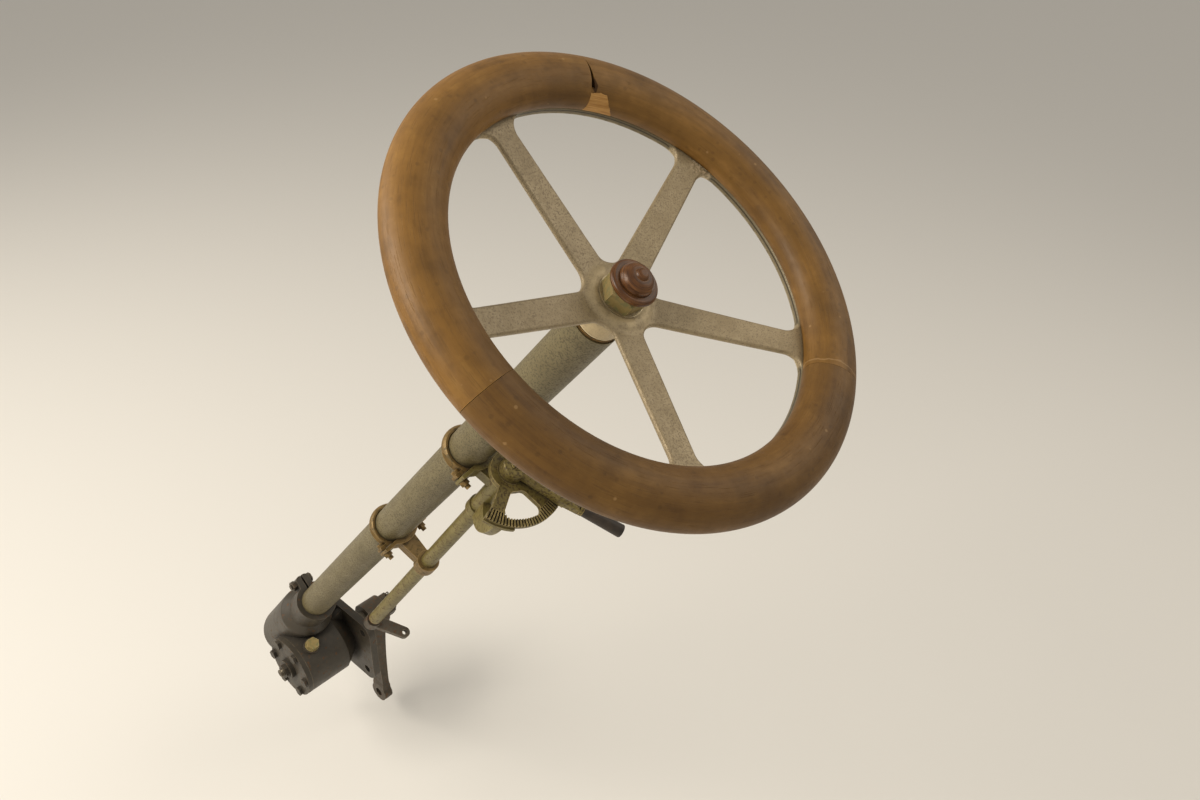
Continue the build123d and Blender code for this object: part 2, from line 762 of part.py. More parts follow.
with BuildPart() as quadrant:
    with BuildSketch(control.offset(-quadrant_bottom)):
        with BuildLine():
            inner = CenterArc((0, 0), quadrant_inner_radius, quadrant_start, quadrant_sweep)
            outer = CenterArc((0, 0), quadrant_radius, quadrant_start, quadrant_sweep)
            Line(inner @ 0, outer @ 0)
            Line(inner @ 1, outer @ 1)
        make_face()
        fillet([c for c in vertices() if reach(c) > arc_middle_radius], quadrant_corner)
        with BuildLine():
            fill = CenterArc((0, 0), arc_middle_radius, left_arm_angle, right_arm_angle - left_arm_angle)
            Polyline(fill @ 0, (0, 0), fill @ 1)
        make_face()
        for angle, width in ((left_arm_angle, left_arm_width), (right_arm_angle, right_arm_width)):
            with Locations(Rotation(0, 0, angle)):
                Rectangle(arc_middle_radius, width, align=(Align.MIN, Align.CENTER))
        Circle(quadrant_hub_radius)
    extrude(amount=quadrant_thickness)
    with BuildSketch(control.offset(-quadrant_bottom)):
        Circle(quadrant_inner_radius)
        Circle(quadrant_hub_radius, mode=Mode.SUBTRACT)
        with Locations(Rotation(0, 0, left_arm_angle)):
            with Locations((0, left_arm_width / 2)):
                Rectangle(cut_reach, cut_reach, align=(Align.CENTER, Align.MAX), mode=Mode.SUBTRACT)
        with Locations(Rotation(0, 0, right_arm_angle)):
            with Locations((0, -right_arm_width / 2)):
                Rectangle(cut_reach, cut_reach, align=(Align.CENTER, Align.MIN), mode=Mode.SUBTRACT)
        fillet(vertices(), quadrant_window_fillet)
    extrude(amount=quadrant_thickness, mode=Mode.SUBTRACT)
    with BuildSketch(control.offset(-quadrant_bottom - quadrant_boss_drop)):
        Circle(quadrant_boss_radius)
    extrude(amount=quadrant_bottom + quadrant_boss_drop - lever_boss_drop - end_float)
    with BuildSketch(control.offset(-lever_boss_drop)):
        Circle(control_radius + bolt_hole_gap)
    extrude(amount=-quadrant_bottom, mode=Mode.SUBTRACT)
    with BuildSketch(control.offset(-quadrant_bottom - quadrant_boss_drop)):
        Circle(sleeve_radius + seat)
    extrude(amount=quadrant_bottom + quadrant_boss_drop - sleeve_top + seat, mode=Mode.SUBTRACT)
    with BuildSketch(control.offset(-quadrant_top - notch_depth)):
        with PolarLocations(arc_middle_radius, notch_count, notch_first, notch_pitch * notch_count):
            Rectangle(quadrant_band * 2, notch_width)
    extrude(amount=notch_depth * 2, mode=Mode.SUBTRACT)
finish(quadrant, "quadrant")


# Lower bracket: saddle, arm and a ring round the control tube

control_slope = tan(radians(control_splay))
lower_level = lower_clip_drop - arm_height / 2 - lever_drop
lower_offset = control_offset + lower_level * control_slope
ring_level = lower_level / cos(radians(control_splay))
tube_ring_radius = control_tube_radius + tube_ring_wall
ring_plane = control.offset(-ring_level - tube_ring_width / 2)

with BuildPart() as lower_bracket:
    add(saddle(lower_clip))
    with BuildSketch(lower_clip):
        clip_arm(lower_offset)
    extrude(amount=arm_height)
    with BuildSketch(ring_plane):
        Circle(tube_ring_radius)
    extrude(amount=tube_ring_width)
    with BuildSketch(ring_plane):
        Circle(control_tube_radius + seat)
    extrude(amount=tube_ring_width, both=True, mode=Mode.SUBTRACT)
finish(lower_bracket, "lower_bracket")


# Control tube, with a bush in its foot

with BuildPart() as control_tube:
    with BuildSketch(control.offset(-control_tube_end)):
        Circle(control_tube_radius)
        Circle(control_bore, mode=Mode.SUBTRACT)
    extrude(amount=control_tube_length - seat)
finish(control_tube, "control_tube")

with BuildPart() as control_foot_bush:
    with BuildSketch(control.offset(-control_tube_end)):
        Circle(control_bore - seat)
        Circle(control_radius + running, mode=Mode.SUBTRACT)
    extrude(amount=foot_bush_length)
    with BuildSketch(control.offset(-control_tube_end)):
        Circle(control_tube_radius)
        Circle(control_radius + running, mode=Mode.SUBTRACT)
    extrude(amount=-foot_bush_rim)
finish(control_foot_bush, "control_foot_bush")


# Control shaft, from the lever's boss to the foot arm

with BuildPart() as control_shaft:
    with BuildSketch(control.offset(lever_boss_top - lever_socket)):
        Circle(control_radius)
    extrude(amount=-(foot_level + foot_hub_length / 2 + lever_boss_top - lever_socket))
finish(control_shaft, "control_shaft")


# Control lever: cranked arm with rounded edges, boss, and a pawl with the tooth that drops into
# the quadrant's notches

tail_direction = Vector(cos(radians(lever_bend)), sin(radians(lever_bend)))
tail_end = Vector(lever_bend_reach, 0) + tail_direction * lever_tail
tail_side = Vector(-tail_direction.Y, tail_direction.X) * (lever_tip_width / 2)
arm_low = tail_end - tail_side
arm_high = tail_end + tail_side

with BuildPart() as control_lever:
    with BuildSketch(lever_frame.offset(-lever_thickness / 2)):
        Polygon(
            (0, -lever_root_width / 2),
            (lever_bend_reach, -lever_bend_width / 2),
            (arm_low.X, arm_low.Y),
            (arm_high.X, arm_high.Y),
            (lever_bend_reach, lever_bend_width / 2),
            (0, lever_root_width / 2),
            align=None,
        )
    extrude(amount=lever_thickness)
    levels = faces().filter_by(axis_of(lever_frame)).sort_by(axis_of(lever_frame))
    fillet(levels[0].edges() + levels[-1].edges(), lever_round)
    with BuildSketch(lever_frame.offset(-lever_boss_drop)):
        Circle(lever_boss_radius)
    boss = extrude(amount=lever_boss_height, mode=Mode.PRIVATE)
    boss_rim = boss.edges().filter_by(GeomType.CIRCLE).sort_by(axis_of(lever_frame))[-1]
    add(boss.fillet(lever_boss_round, [boss_rim]))
    with BuildSketch(lever_frame.offset(-quadrant_top + pawl_gap)):
        with Locations((arc_middle_radius, 0)):
            Rectangle(pawl_length, pawl_width)
    extrude(amount=quadrant_top - pawl_gap)
    with BuildSketch(lever_frame):
        with Locations((arc_middle_radius, 0)):
            Rectangle(tooth_length, tooth_width)
    extrude(amount=-(quadrant_top - tooth_gap))
    with BuildSketch(lever_frame.offset(-lever_boss_drop)):
        Circle(control_radius + seat)
    extrude(amount=lever_boss_height - lever_socket + seat, mode=Mode.SUBTRACT)
    with BuildSketch(facing(tail_frame, lever_tail)):
        Circle(ferrule_radius)
    extrude(amount=ferrule_length)
finish(control_lever, "control_lever")


# Grip: black, a little thicker towards its flat end

grip_nose = lever_tail + ferrule_length
grip_end = grip_nose + grip_length
round_middle = grip_end_round * (1 - cos(radians(45)))

with BuildPart() as lever_grip:
    with BuildSketch(tail_frame):
        with BuildLine():
            Polyline(
                (grip_nose, 0),
                (grip_nose, grip_neck_radius),
                (grip_end - grip_end_round, grip_radius),
            )
            ThreePointArc(
                (grip_end - grip_end_round, grip_radius),
                (grip_end - round_middle, grip_radius - round_middle),
                (grip_end, grip_radius - grip_end_round),
            )
            Polyline((grip_end, grip_radius - grip_end_round), (grip_end, 0), (grip_nose, 0))
        make_face()
    revolve(axis=Axis(tail_frame.origin, tail_frame.x_dir))
finish(lever_grip, "lever_grip")


# Foot arm of the control shaft, for the rod to the engine

with BuildPart() as control_foot_arm:
    with BuildSketch(foot_frame.offset(-foot_hub_length / 2)):
        Circle(foot_hub_radius)
    extrude(amount=foot_hub_length)
    with BuildSketch(foot_frame.offset(-foot_arm_thickness / 2)):
        Polygon(
            (0, -foot_web / 2),
            (foot_arm_length, -foot_eye_radius),
            (foot_arm_length, foot_eye_radius),
            (0, foot_web / 2),
            align=None,
        )
        with Locations((foot_arm_length, 0)):
            Circle(foot_eye_radius)
            Circle(foot_hole_radius, mode=Mode.SUBTRACT)
    extrude(amount=foot_arm_thickness)
    with BuildSketch(foot_frame.offset(-foot_hub_length / 2)):
        Circle(control_radius + seat)
    extrude(amount=foot_hub_length, mode=Mode.SUBTRACT)
finish(control_foot_arm, "control_foot_arm")


# Steering box: worm barrel on the column with a split neck that clamps the tube, sector case
# across it, ribs, oil filler and the flange on the rail

clamp_side = turned(column.offset(neck_top), 90)
clamp_pull = turned(column.offset(neck_top), 180)
clamp_width = 2 * clamp_lug_thickness + clamp_slot
clamp_bolt_reach = neck_radius + clamp_lug_reach / 2
filler = Plane(
    origin=(-filler_inset, 0, 0),
    x_dir=(1, 0, 0),
    z_dir=(0, -sin(radians(filler_angle)), cos(radians(filler_angle))),
)

with BuildPart() as steering_box:
    with BuildSketch(upright(column)):
        Polygon(
            (0, -barrel_bottom),
            (barrel_radius, -barrel_bottom),
            (barrel_radius, barrel_top),
            (neck_radius, neck_bottom),
            (neck_radius, neck_top),
            (0, neck_top),
            align=None,
        )
        fillet([c for c in vertices() if abs(c.X - barrel_radius) < near], barrel_round)
    revolve(axis=axis_of(column))
    with BuildSketch(Plane.XY):
        Polygon(
            (sector_case_start, 0),
            (sector_case_start, sector_case_radius),
            (-column_inset + barrel_radius - sector_shoulder, sector_case_radius),
            (-flange_thickness, sector_case_neck_radius),
            (0, sector_case_neck_radius),
            (0, 0),
            align=None,
        )
    revolve(axis=sector_axis)
    with BuildSketch(Plane.XZ):
        for side in (-1, 1):
            Polygon(
                (-flange_thickness, 0),
                (-flange_thickness, side * rib_height),
                (-flange_thickness - rib_length, side * (sector_case_radius - rib_thickness / 2)),
                (-flange_thickness - rib_length, 0),
                align=None,
            )
    extrude(amount=rib_thickness / 2, both=True)
    with BuildSketch(filler):
        Circle(filler_radius)
    extrude(amount=filler_top)
    with BuildSketch(clamp_side.offset(-clamp_lug_height)):
        with Locations((neck_radius / 2, 0)):
            Rectangle(neck_radius / 2 + clamp_lug_reach, clamp_width, align=(Align.MIN, Align.CENTER))
        fillet(vertices().sort_by(Axis.X)[-2:], clamp_lug_corner)
    extrude(amount=clamp_lug_height)
    with BuildSketch(rail_face):
        RectangleRounded(flange_width, flange_height, flange_corner)
        with GridLocations(flange_hole_spacing_y, flange_hole_spacing_z, 2, 2):
            Circle(flange_hole_radius, mode=Mode.SUBTRACT)
    extrude(amount=-flange_thickness)
    with BuildSketch(clamp_side.offset(-clamp_slot_length)):
        Rectangle(neck_radius + 2 * clamp_lug_reach, clamp_slot, align=(Align.MIN, Align.CENTER))
    extrude(amount=clamp_slot_length, mode=Mode.SUBTRACT)
    with BuildSketch(facing(clamp_pull, 0, -clamp_lug_height / 2)):
        with Locations((-clamp_bolt_reach, 0)):
            Circle(clamp_bolt_radius + bolt_hole_gap)
    extrude(amount=clamp_width, both=True, mode=Mode.SUBTRACT)
    with BuildSketch(column.offset(socket_bottom)):
        Circle(tube_radius + seat)
    extrude(amount=tube_socket, mode=Mode.SUBTRACT)
    with BuildSketch(column.offset(-shaft_foot - end_float)):
        Circle(shaft_radius + running)
    extrude(amount=socket_bottom + shaft_foot + end_float, mode=Mode.SUBTRACT)
    with BuildSketch(rail_face.offset(sector_case_start)):
        Circle(sector_shaft_radius + running)
    extrude(amount=-sector_case_start, mode=Mode.SUBTRACT)
finish(steering_box, "steering_box")


# Pinch bolt of the neck, with its nut

with BuildPart() as neck_bolt:
    with BuildSketch(facing(clamp_pull, -clamp_width / 2 - clamp_bolt_head, -clamp_lug_height / 2)):
        with Locations((-clamp_bolt_reach, 0)):
            RegularPolygon(clamp_bolt_flats / 2, 6, major_radius=False)
    extrude(amount=clamp_bolt_head)
    with BuildSketch(facing(clamp_pull, -clamp_width / 2, -clamp_lug_height / 2)):
        with Locations((-clamp_bolt_reach, 0)):
            Circle(clamp_bolt_radius)
    extrude(amount=clamp_width + clamp_nut_height + clamp_bolt_stub)
    with BuildSketch(facing(clamp_pull, clamp_width / 2, -clamp_lug_height / 2)):
        with Locations((-clamp_bolt_reach, 0)):
            RegularPolygon(clamp_bolt_flats / 2, 6, major_radius=False)
    extrude(amount=clamp_nut_height)
finish(neck_bolt, "neck_bolt")


# Oil plug on its filler

with BuildPart() as oil_plug:
    with BuildSketch(filler.offset(filler_top)):
        Circle(plug_rim_radius)
    extrude(amount=plug_rim_height)
    with BuildSketch(filler.offset(filler_top + plug_rim_height)):
        RegularPolygon(plug_flats / 2, 6, major_radius=False)
    extrude(amount=plug_height)
finish(oil_plug, "oil_plug")


# Cover of the sector case, with its bolts and the adjusting screw in its boss

cover_face = sector_case_start - cover_thickness
boss_face = cover_face - cover_boss_height

with BuildPart() as box_cover:
    with BuildSketch(rail_face.offset(cover_face)):
        Circle(sector_case_radius)
    extrude(amount=cover_thickness)
    with BuildSketch(rail_face.offset(cover_face)):
        Circle(cover_boss_radius)
    extrude(amount=-cover_boss_height)
    with BuildSketch(rail_face.offset(cover_face)):
        with PolarLocations(sector_case_radius - cover_bolt_inset, cover_bolt_count):
            RegularPolygon(cover_bolt_flats / 2, 6, major_radius=False)
    extrude(amount=-cover_bolt_head)
    with BuildSketch(rail_face.offset(boss_face)):
        RegularPolygon(adjuster_flats / 2, 6, major_radius=False)
    extrude(amount=-adjuster_nut_height)
    with BuildSketch(rail_face.offset(boss_face - adjuster_nut_height)):
        Circle(adjuster_radius)
    extrude(amount=-adjuster_stub)
finish(box_cover, "box_cover")


# Cap under the worm, with a hexagon to set the worm's end float

with BuildPart() as box_cap:
    with BuildSketch(column.offset(-barrel_bottom)):
        Circle(cap_radius)
    extrude(amount=-cap_height)
    with BuildSketch(column.offset(-barrel_bottom - cap_height)):
        RegularPolygon(cap_across_flats / 2, 6, major_radius=False)
    extrude(amount=-cap_hexagon_height)
finish(box_cap, "box_cap")


# Sector shaft, through the rail to the drop arm and its nut

with BuildPart() as sector_shaft:
    with BuildSketch(rail_face.offset(sector_case_start + end_float)):
        Circle(sector_shaft_radius)
    extrude(amount=-sector_case_start - end_float + drop_arm_end + drop_nut_height + thread_stub)
finish(sector_shaft, "sector_shaft")


# Drop arm: forged, hanging from the sector shaft, waisted in front view and tapered in side view,
# with an eye for the drag link's pin

drop_waist_level = -drop_arm_length / 2
drop_root_level = -drop_arm_hub_radius - drop_arm_shoulder
drop_tip_level = -drop_arm_length + drop_arm_eye_radius + drop_arm_shoulder
eye_top_level = drop_tip_level - drop_arm_shoulder
drop_arm_foot = -drop_arm_length - 2 * drop_arm_eye_radius

with BuildPart() as drop_arm:
    with BuildSketch(rail_face.offset(drop_arm_start)):
        Circle(drop_arm_hub_radius)
        with BuildLine():
            ThreePointArc(
                (-drop_arm_root_half, 0),
                (-drop_arm_waist, drop_waist_level),
                (-drop_arm_tip_half, -drop_arm_length),
            )
            Line((-drop_arm_tip_half, -drop_arm_length), (drop_arm_tip_half, -drop_arm_length))
            ThreePointArc(
                (drop_arm_tip_half, -drop_arm_length),
                (drop_arm_waist, drop_waist_level),
                (drop_arm_root_half, 0),
            )
            Line((drop_arm_root_half, 0), (-drop_arm_root_half, 0))
        make_face()
        with Locations((0, -drop_arm_length)):
            Circle(drop_arm_eye_radius)
            Circle(drop_arm_hole_radius, mode=Mode.SUBTRACT)
        Circle(sector_shaft_radius + seat, mode=Mode.SUBTRACT)
    extrude(amount=drop_arm_hub_length)
    with BuildSketch(Plane.XZ):
        for side in (-1, 1):
            Polygon(
                (drop_arm_middle, 2 * drop_arm_hub_radius),
                (drop_arm_middle + side * drop_arm_hub_length / 2, 2 * drop_arm_hub_radius),
                (drop_arm_middle + side * drop_arm_hub_length / 2, -drop_arm_hub_radius),
                (drop_arm_middle + side * drop_arm_web / 2, drop_root_level),
                (drop_arm_middle + side * drop_arm_tip_web / 2, drop_tip_level),
                (drop_arm_middle + side * drop_arm_eye_thickness / 2, eye_top_level),
                (drop_arm_middle + side * drop_arm_eye_thickness / 2, drop_arm_foot),
                (drop_arm_middle, drop_arm_foot),
                align=None,
            )
    extrude(amount=2 * drop_arm_hub_radius, both=True, mode=Mode.INTERSECT)
finish(drop_arm, "drop_arm")

drop_arm_nut = hex_nut(
    rail_face.offset(drop_arm_end),
    drop_nut_across_flats,
    drop_nut_height,
    sector_shaft_radius + seat,
    drop_nut_slot_width,
    drop_nut_slot_depth,
)
finish(drop_arm_nut, "drop_arm_nut")
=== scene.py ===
# %% [markdown]
# Steering wheel and column of a brass era car
#
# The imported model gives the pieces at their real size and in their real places. This script gives
# them their looks: old varnished wood, a tarnished casting, mottled paint, bronze that has gone
# dull, and the small screws and scars that a hundred years leave. All lengths are in metres, X
# points to the car's right, Y forward and Z up.

# %% Load the model
import json
from math import cos, pi, radians, sin

import bpy
import numpy as np
from mathutils import Matrix, Vector


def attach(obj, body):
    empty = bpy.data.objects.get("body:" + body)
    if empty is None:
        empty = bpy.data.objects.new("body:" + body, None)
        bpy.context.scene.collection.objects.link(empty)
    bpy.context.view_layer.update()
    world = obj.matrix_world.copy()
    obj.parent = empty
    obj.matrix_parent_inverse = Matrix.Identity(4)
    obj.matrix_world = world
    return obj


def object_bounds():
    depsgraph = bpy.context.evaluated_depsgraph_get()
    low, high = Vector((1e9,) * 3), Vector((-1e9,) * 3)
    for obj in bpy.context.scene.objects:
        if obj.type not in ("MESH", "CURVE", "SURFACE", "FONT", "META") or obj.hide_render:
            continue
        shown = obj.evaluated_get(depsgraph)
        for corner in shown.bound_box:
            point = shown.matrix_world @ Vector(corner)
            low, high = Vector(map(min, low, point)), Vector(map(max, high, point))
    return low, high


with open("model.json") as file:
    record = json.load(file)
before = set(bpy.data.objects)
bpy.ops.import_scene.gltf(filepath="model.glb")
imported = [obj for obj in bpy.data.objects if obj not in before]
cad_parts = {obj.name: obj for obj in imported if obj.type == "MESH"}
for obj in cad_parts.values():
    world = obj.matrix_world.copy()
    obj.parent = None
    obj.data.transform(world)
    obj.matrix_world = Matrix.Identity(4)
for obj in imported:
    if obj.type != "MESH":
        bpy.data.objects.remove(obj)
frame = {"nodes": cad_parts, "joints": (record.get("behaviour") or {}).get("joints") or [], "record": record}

cad_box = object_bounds()
scene = bpy.context.scene
nodes = frame["nodes"]
print("pieces from the model:", len(nodes))

# %% [markdown]
# The wheel turns about the column, so its middle and its axis are those of the steering joint.
# From these come three directions that every later step uses: right, towards the top of the
# wheel, and up the column. The lever's joint gives the same for the control shaft. They could be
# typed in as numbers, but read from the joints they stay right when the model changes.

# %% Frames of the wheel and of the lever
MM = 0.001
joints = {joint["name"]: joint for joint in frame["joints"]}


def frame_at(origin, outward, sideways):
    """Origin and rows x, y, z, with z looking outward and x as near to sideways as can be."""
    z = np.array(outward, float) / np.linalg.norm(outward)
    x = np.array(sideways, float) - np.dot(sideways, z) * z
    x /= np.linalg.norm(x)
    return np.array(origin, float), np.array([x, np.cross(z, x), z])


def place(points, origin, axes):
    """Points given along a frame's x, y and z, brought into the model's frame."""
    return origin + np.asarray(points, float) @ axes


steering, control = joints["steering"], joints["control_lever"]
WHEEL, WHEEL_AXES = frame_at(steering["pos_m"], steering["axis"], (1, 0, 0))
LEVER, LEVER_AXES = frame_at(control["pos_m"], control["axis"], WHEEL - np.array(control["pos_m"]))
print("middle of the wheel:", WHEEL.round(4))
print("axis of the lever:", LEVER_AXES[2].round(3))

# %% [markdown]
# The camera stands where the photographer stood: over the seat, to the left of the wheel and
# a little above it. A camera could be placed by eye, but here its lens and place follow from the
# shape of the rim, whose circle shows as an ellipse, and from how fast the column narrows as it
# runs away.

# %% Camera
CAMERA_PLACE = (-0.5776, -1.0012, 1.1754)
CAMERA_LOOK = (0.6434, 0.5388, -0.5439)
CAMERA_ROLL = radians(2.575)
SENSOR_WIDTH = 36.0
LENS = 28.145

camera_data = bpy.data.cameras.new("camera")
camera_data.sensor_width = SENSOR_WIDTH
camera_data.lens = LENS
camera = bpy.data.objects.new("camera", camera_data)
scene.collection.objects.link(camera)
aim = Vector(CAMERA_LOOK).to_track_quat("-Z", "Y").to_matrix()
turn = aim @ Matrix.Rotation(CAMERA_ROLL, 3, "Z")
camera.matrix_world = Matrix.Translation(CAMERA_PLACE) @ turn.to_4x4()
scene.camera = camera
print("from the camera to the wheel:", round((Vector(WHEEL) - Vector(CAMERA_PLACE)).length, 3), "m")

# %% [markdown]
# Every finish is a tree of shader nodes. A few short helpers keep the trees readable: one adds a
# node and feeds its inputs, the others do one sum, one blend or one noise each. Colours are
# written as they look on a screen, from 0 to 255, and turned into the linear values that the
# shader works with.

# %% One node at a time
def srgb(red, green, blue):
    """A screen colour, 0 to 255, as linear red, green, blue and alpha."""
    c = np.array([red, green, blue]) / 255
    return (*np.where(c <= 0.04045, c / 12.92, ((c + 0.055) / 1.055) ** 2.4).tolist(), 1.0)


def feed(tree, socket, value):
    """Links a socket to an input, or sets the input to a plain value."""
    if isinstance(value, bpy.types.NodeSocket):
        tree.links.new(value, socket)
    else:
        socket.default_value = value


def node(tree, kind, inputs=None, **settings):
    """A new node with its settings; its inputs are fed by name or by number."""
    new = tree.nodes.new(kind)
    for name, value in settings.items():
        setattr(new, name, value)
    for key, value in (inputs or {}).items():
        feed(tree, new.inputs[key], value)
    return new


def maths(tree, operation, first, second=0.0, clamp=False):
    """One sum on two values."""
    settings = {"operation": operation, "use_clamp": clamp}
    return node(tree, "ShaderNodeMath", {0: first, 1: second}, **settings).outputs[0]


def product(tree, first, *others):
    """All the values multiplied, in their order."""
    for other in others:
        first = maths(tree, "MULTIPLY", first, other)
    return first


def total(tree, first, *others):
    """All the values added, in their order."""
    for other in others:
        first = maths(tree, "ADD", first, other)
    return first


print("screen grey 128 is", round(srgb(128, 128, 128)[0], 3), "to the shader")

# %% [markdown]
# The next helpers shape a value or a colour. A plain map range has hard corners at both ends,
# and a colour ramp hides its numbers in a widget, so soft steps are made with a smooth map range.

# %% Blends, steps and noise
def blend(tree, mask, first, second):
    """The first colour where the mask is 0 and the second where it is 1."""
    inputs = {0: mask, 6: first, 7: second}
    return node(tree, "ShaderNodeMix", inputs, data_type="RGBA").outputs[2]


def tint(tree, color, mask, strength, *paint):
    """Paints a screen colour over another colour, through a mask and at a strength."""
    return blend(tree, maths(tree, "MULTIPLY", mask, strength), color, srgb(*paint))


def between(tree, mask, first, second):
    """The first value where the mask is 0 and the second where it is 1."""
    inputs = {0: mask, 2: first, 3: second}
    return node(tree, "ShaderNodeMix", inputs, data_type="FLOAT").outputs[0]


def rise(tree, value, low, high):
    """0 below low, 1 above high, and a soft step between them; turned round where low > high."""
    inputs = {"Value": value, "From Min": low, "From Max": high}
    return node(tree, "ShaderNodeMapRange", inputs, interpolation_type="SMOOTHSTEP").outputs[0]


def distance(tree, value, level):
    """How far a value is from a level, on either side."""
    return maths(tree, "ABSOLUTE", maths(tree, "SUBTRACT", value, level))


def noise(tree, scale, seed=0.0, detail=3.0, vector=None, roughness=0.5):
    """Noise of 0 to 1 in space, with the seed as its fourth direction."""
    if vector is None:
        vector = node(tree, "ShaderNodeTexCoord").outputs["Object"]
    inputs = {"Vector": vector, "Scale": scale, "W": seed, "Detail": detail, "Roughness": roughness}
    return node(tree, "ShaderNodeTexNoise", inputs, noise_dimensions="4D").outputs[0]


print("helpers: blend, tint, between, rise, distance and noise")

# %% [markdown]
# What more than one finish needs is built once, as a node group with named inputs, and placed in
# each material with its own values. Copying the nodes into every material would look the same,
# but each later change would have to be made in all of them.

# %% Node groups
def new_group(name, inputs, *outputs):
    """An empty group with named values in and out, and the sockets at its two ends."""
    tree = bpy.data.node_groups.new(name, "ShaderNodeTree")
    for label, value in inputs.items():
        socket = tree.interface.new_socket(label, in_out="INPUT", socket_type="NodeSocketFloat")
        socket.default_value = value
    for label in outputs:
        tree.interface.new_socket(label, in_out="OUTPUT", socket_type="NodeSocketFloat")
    return tree, tree.nodes.new("NodeGroupInput").outputs, tree.nodes.new("NodeGroupOutput").inputs


def use(tree, group, **inputs):
    """Places a group in a tree; an input's name has _ for each space."""
    new = tree.nodes.new("ShaderNodeGroup")
    new.node_tree = group
    for key, value in inputs.items():
        feed(tree, new.inputs[key.replace("_", " ")], value)
    return new.outputs


print("helpers: new_group and use")

# %% [markdown]
# *Patches* are where a finish has faded, stained or flaked. They could be painted by hand on an
# unwrapped surface, but noise with a threshold needs no unwrapping and fits every piece. Cover
# moves the threshold, and softness is half the width of the step.

# %% Patches
FULL_COVER, NO_COVER = 0.28, 0.72  # noise levels that nearly all and nearly none of it lies above

patches, given, made = new_group(
    "patches", {"Size": 0.02, "Cover": 0.5, "Softness": 0.1, "Seed": 0.0}, "Mask"
)
per_size = maths(patches, "DIVIDE", 1.0, given["Size"])
spread = noise(patches, per_size, given["Seed"], 4.0, roughness=0.6)
level = between(patches, given["Cover"], NO_COVER, FULL_COVER)
low = maths(patches, "SUBTRACT", level, given["Softness"])
high = maths(patches, "ADD", level, given["Softness"])
patches.links.new(rise(patches, spread, low, high), made["Mask"])
print("group:", patches.name)

# %% [markdown]
# *Worn edges* show where hands, cloths and boots rub a corner bright. The bevel node gives the
# normal that a rounded corner would have, and where that differs from the real one there is an
# edge. Vertex colours could mark the edges too, but only as finely as the mesh.

# %% Worn edges
EDGE_FROM, EDGE_FULL = 0.01, 0.12  # how far the rounded normal turns from the real one
RUB_SCALE = 160.0
RUB_FROM, RUB_FULL = 0.32, 0.6

worn_edges, given, made = new_group(
    "worn edges", {"Reach": 0.001, "Amount": 1.0, "Seed": 0.0}, "Mask"
)
rounded = node(worn_edges, "ShaderNodeBevel", {"Radius": given["Reach"]}, samples=8).outputs[0]
real = node(worn_edges, "ShaderNodeNewGeometry").outputs["Normal"]
match = node(
    worn_edges, "ShaderNodeVectorMath", {0: rounded, 1: real}, operation="DOT_PRODUCT"
).outputs["Value"]
edge = rise(worn_edges, maths(worn_edges, "SUBTRACT", 1.0, match), EDGE_FROM, EDGE_FULL)
rub_noise = noise(worn_edges, RUB_SCALE, given["Seed"], 4.0)
rubbed = rise(worn_edges, rub_noise, RUB_FROM, RUB_FULL)
worn = maths(worn_edges, "MULTIPLY", product(worn_edges, edge, rubbed), given["Amount"], clamp=True)
worn_edges.links.new(worn, made["Mask"])
print("group:", worn_edges.name)

# %% [markdown]
# *Grime* gathers in corners where no cloth gets in, and the same corners are darkened with painted
# shade, as little light gets in there either. Both are found with ambient occlusion, made uneven
# by noise.

# %% Grime and painted shade
# The mask of grime and painted shade is empty at the first share of open sky and full at the second.
OPEN_SHARE, SHUT_SHARE = 0.92, 0.35  # shares of open sky with no grime and with the most
# Noise that makes the grime and painted shade uneven.
GRIME_SHADE_SCALE = 70.0
LEAST_GRIME_SHADE, MOST_GRIME_SHADE = 0.55, 1.25

grime_and_shade, given, made = new_group("grime_and_shade", {"Reach": 0.01, "Amount": 1.0, "Seed": 0.0}, "Mask")
# Ambient occlusion finds the corners: grime with painted shade.
open_sky = node(
    grime_and_shade, "ShaderNodeAmbientOcclusion", {"Distance": given["Reach"]}, samples=8
).outputs["AO"]
shut = rise(grime_and_shade, open_sky, OPEN_SHARE, SHUT_SHARE)
uneven = between(grime_and_shade, noise(grime_and_shade, GRIME_SHADE_SCALE, given["Seed"]), LEAST_GRIME_SHADE, MOST_GRIME_SHADE)
dirty_and_shaded = maths(grime_and_shade, "MULTIPLY", product(grime_and_shade, shut, uneven), given["Amount"], clamp=True)
grime_and_shade.links.new(dirty_and_shaded, made["Mask"])
print("group:", grime_and_shade.name)

# %% [markdown]
# *Casting skin* is the grain that the sand mould leaves, under whatever covers it: fine grains,
# a slow swell and a few pits. It is far too fine to model, so it is a height for the bump node.

# %% Casting skin
SWELL_SCALE, PIT_SCALE = 0.12, 0.45  # against the scale of the grains
PIT_FROM, PIT_FULL = 0.36, 0.28
SAND_SHARE = 0.35

casting_skin, given, made = new_group(
    "casting skin", {"Grain": 0.0012, "Pits": 0.4, "Seed": 0.0}, "Height"
)
per_grain = maths(casting_skin, "DIVIDE", 1.0, given["Grain"])
sand = noise(casting_skin, per_grain, given["Seed"], 3.0)
swell = noise(casting_skin, product(casting_skin, per_grain, SWELL_SCALE), given["Seed"], 2.0)
hollows = noise(casting_skin, product(casting_skin, per_grain, PIT_SCALE), given["Seed"])
pit = rise(casting_skin, hollows, PIT_FROM, PIT_FULL)
skin = total(casting_skin, product(casting_skin, sand, SAND_SHARE), swell)
skin = maths(casting_skin, "SUBTRACT", skin, product(casting_skin, pit, given["Pits"]))
casting_skin.links.new(skin, made["Height"])
print("group:", casting_skin.name)

# %% [markdown]
# *Freckles* are specks and small nicks. Noise gives blotches, never dots, so here space is cut
# into cells, and a share of the cells gets a round spot in the middle.

# %% Freckles
SPOT_OUTER, SPOT_INNER = 0.38, 0.18  # against the size of a cell

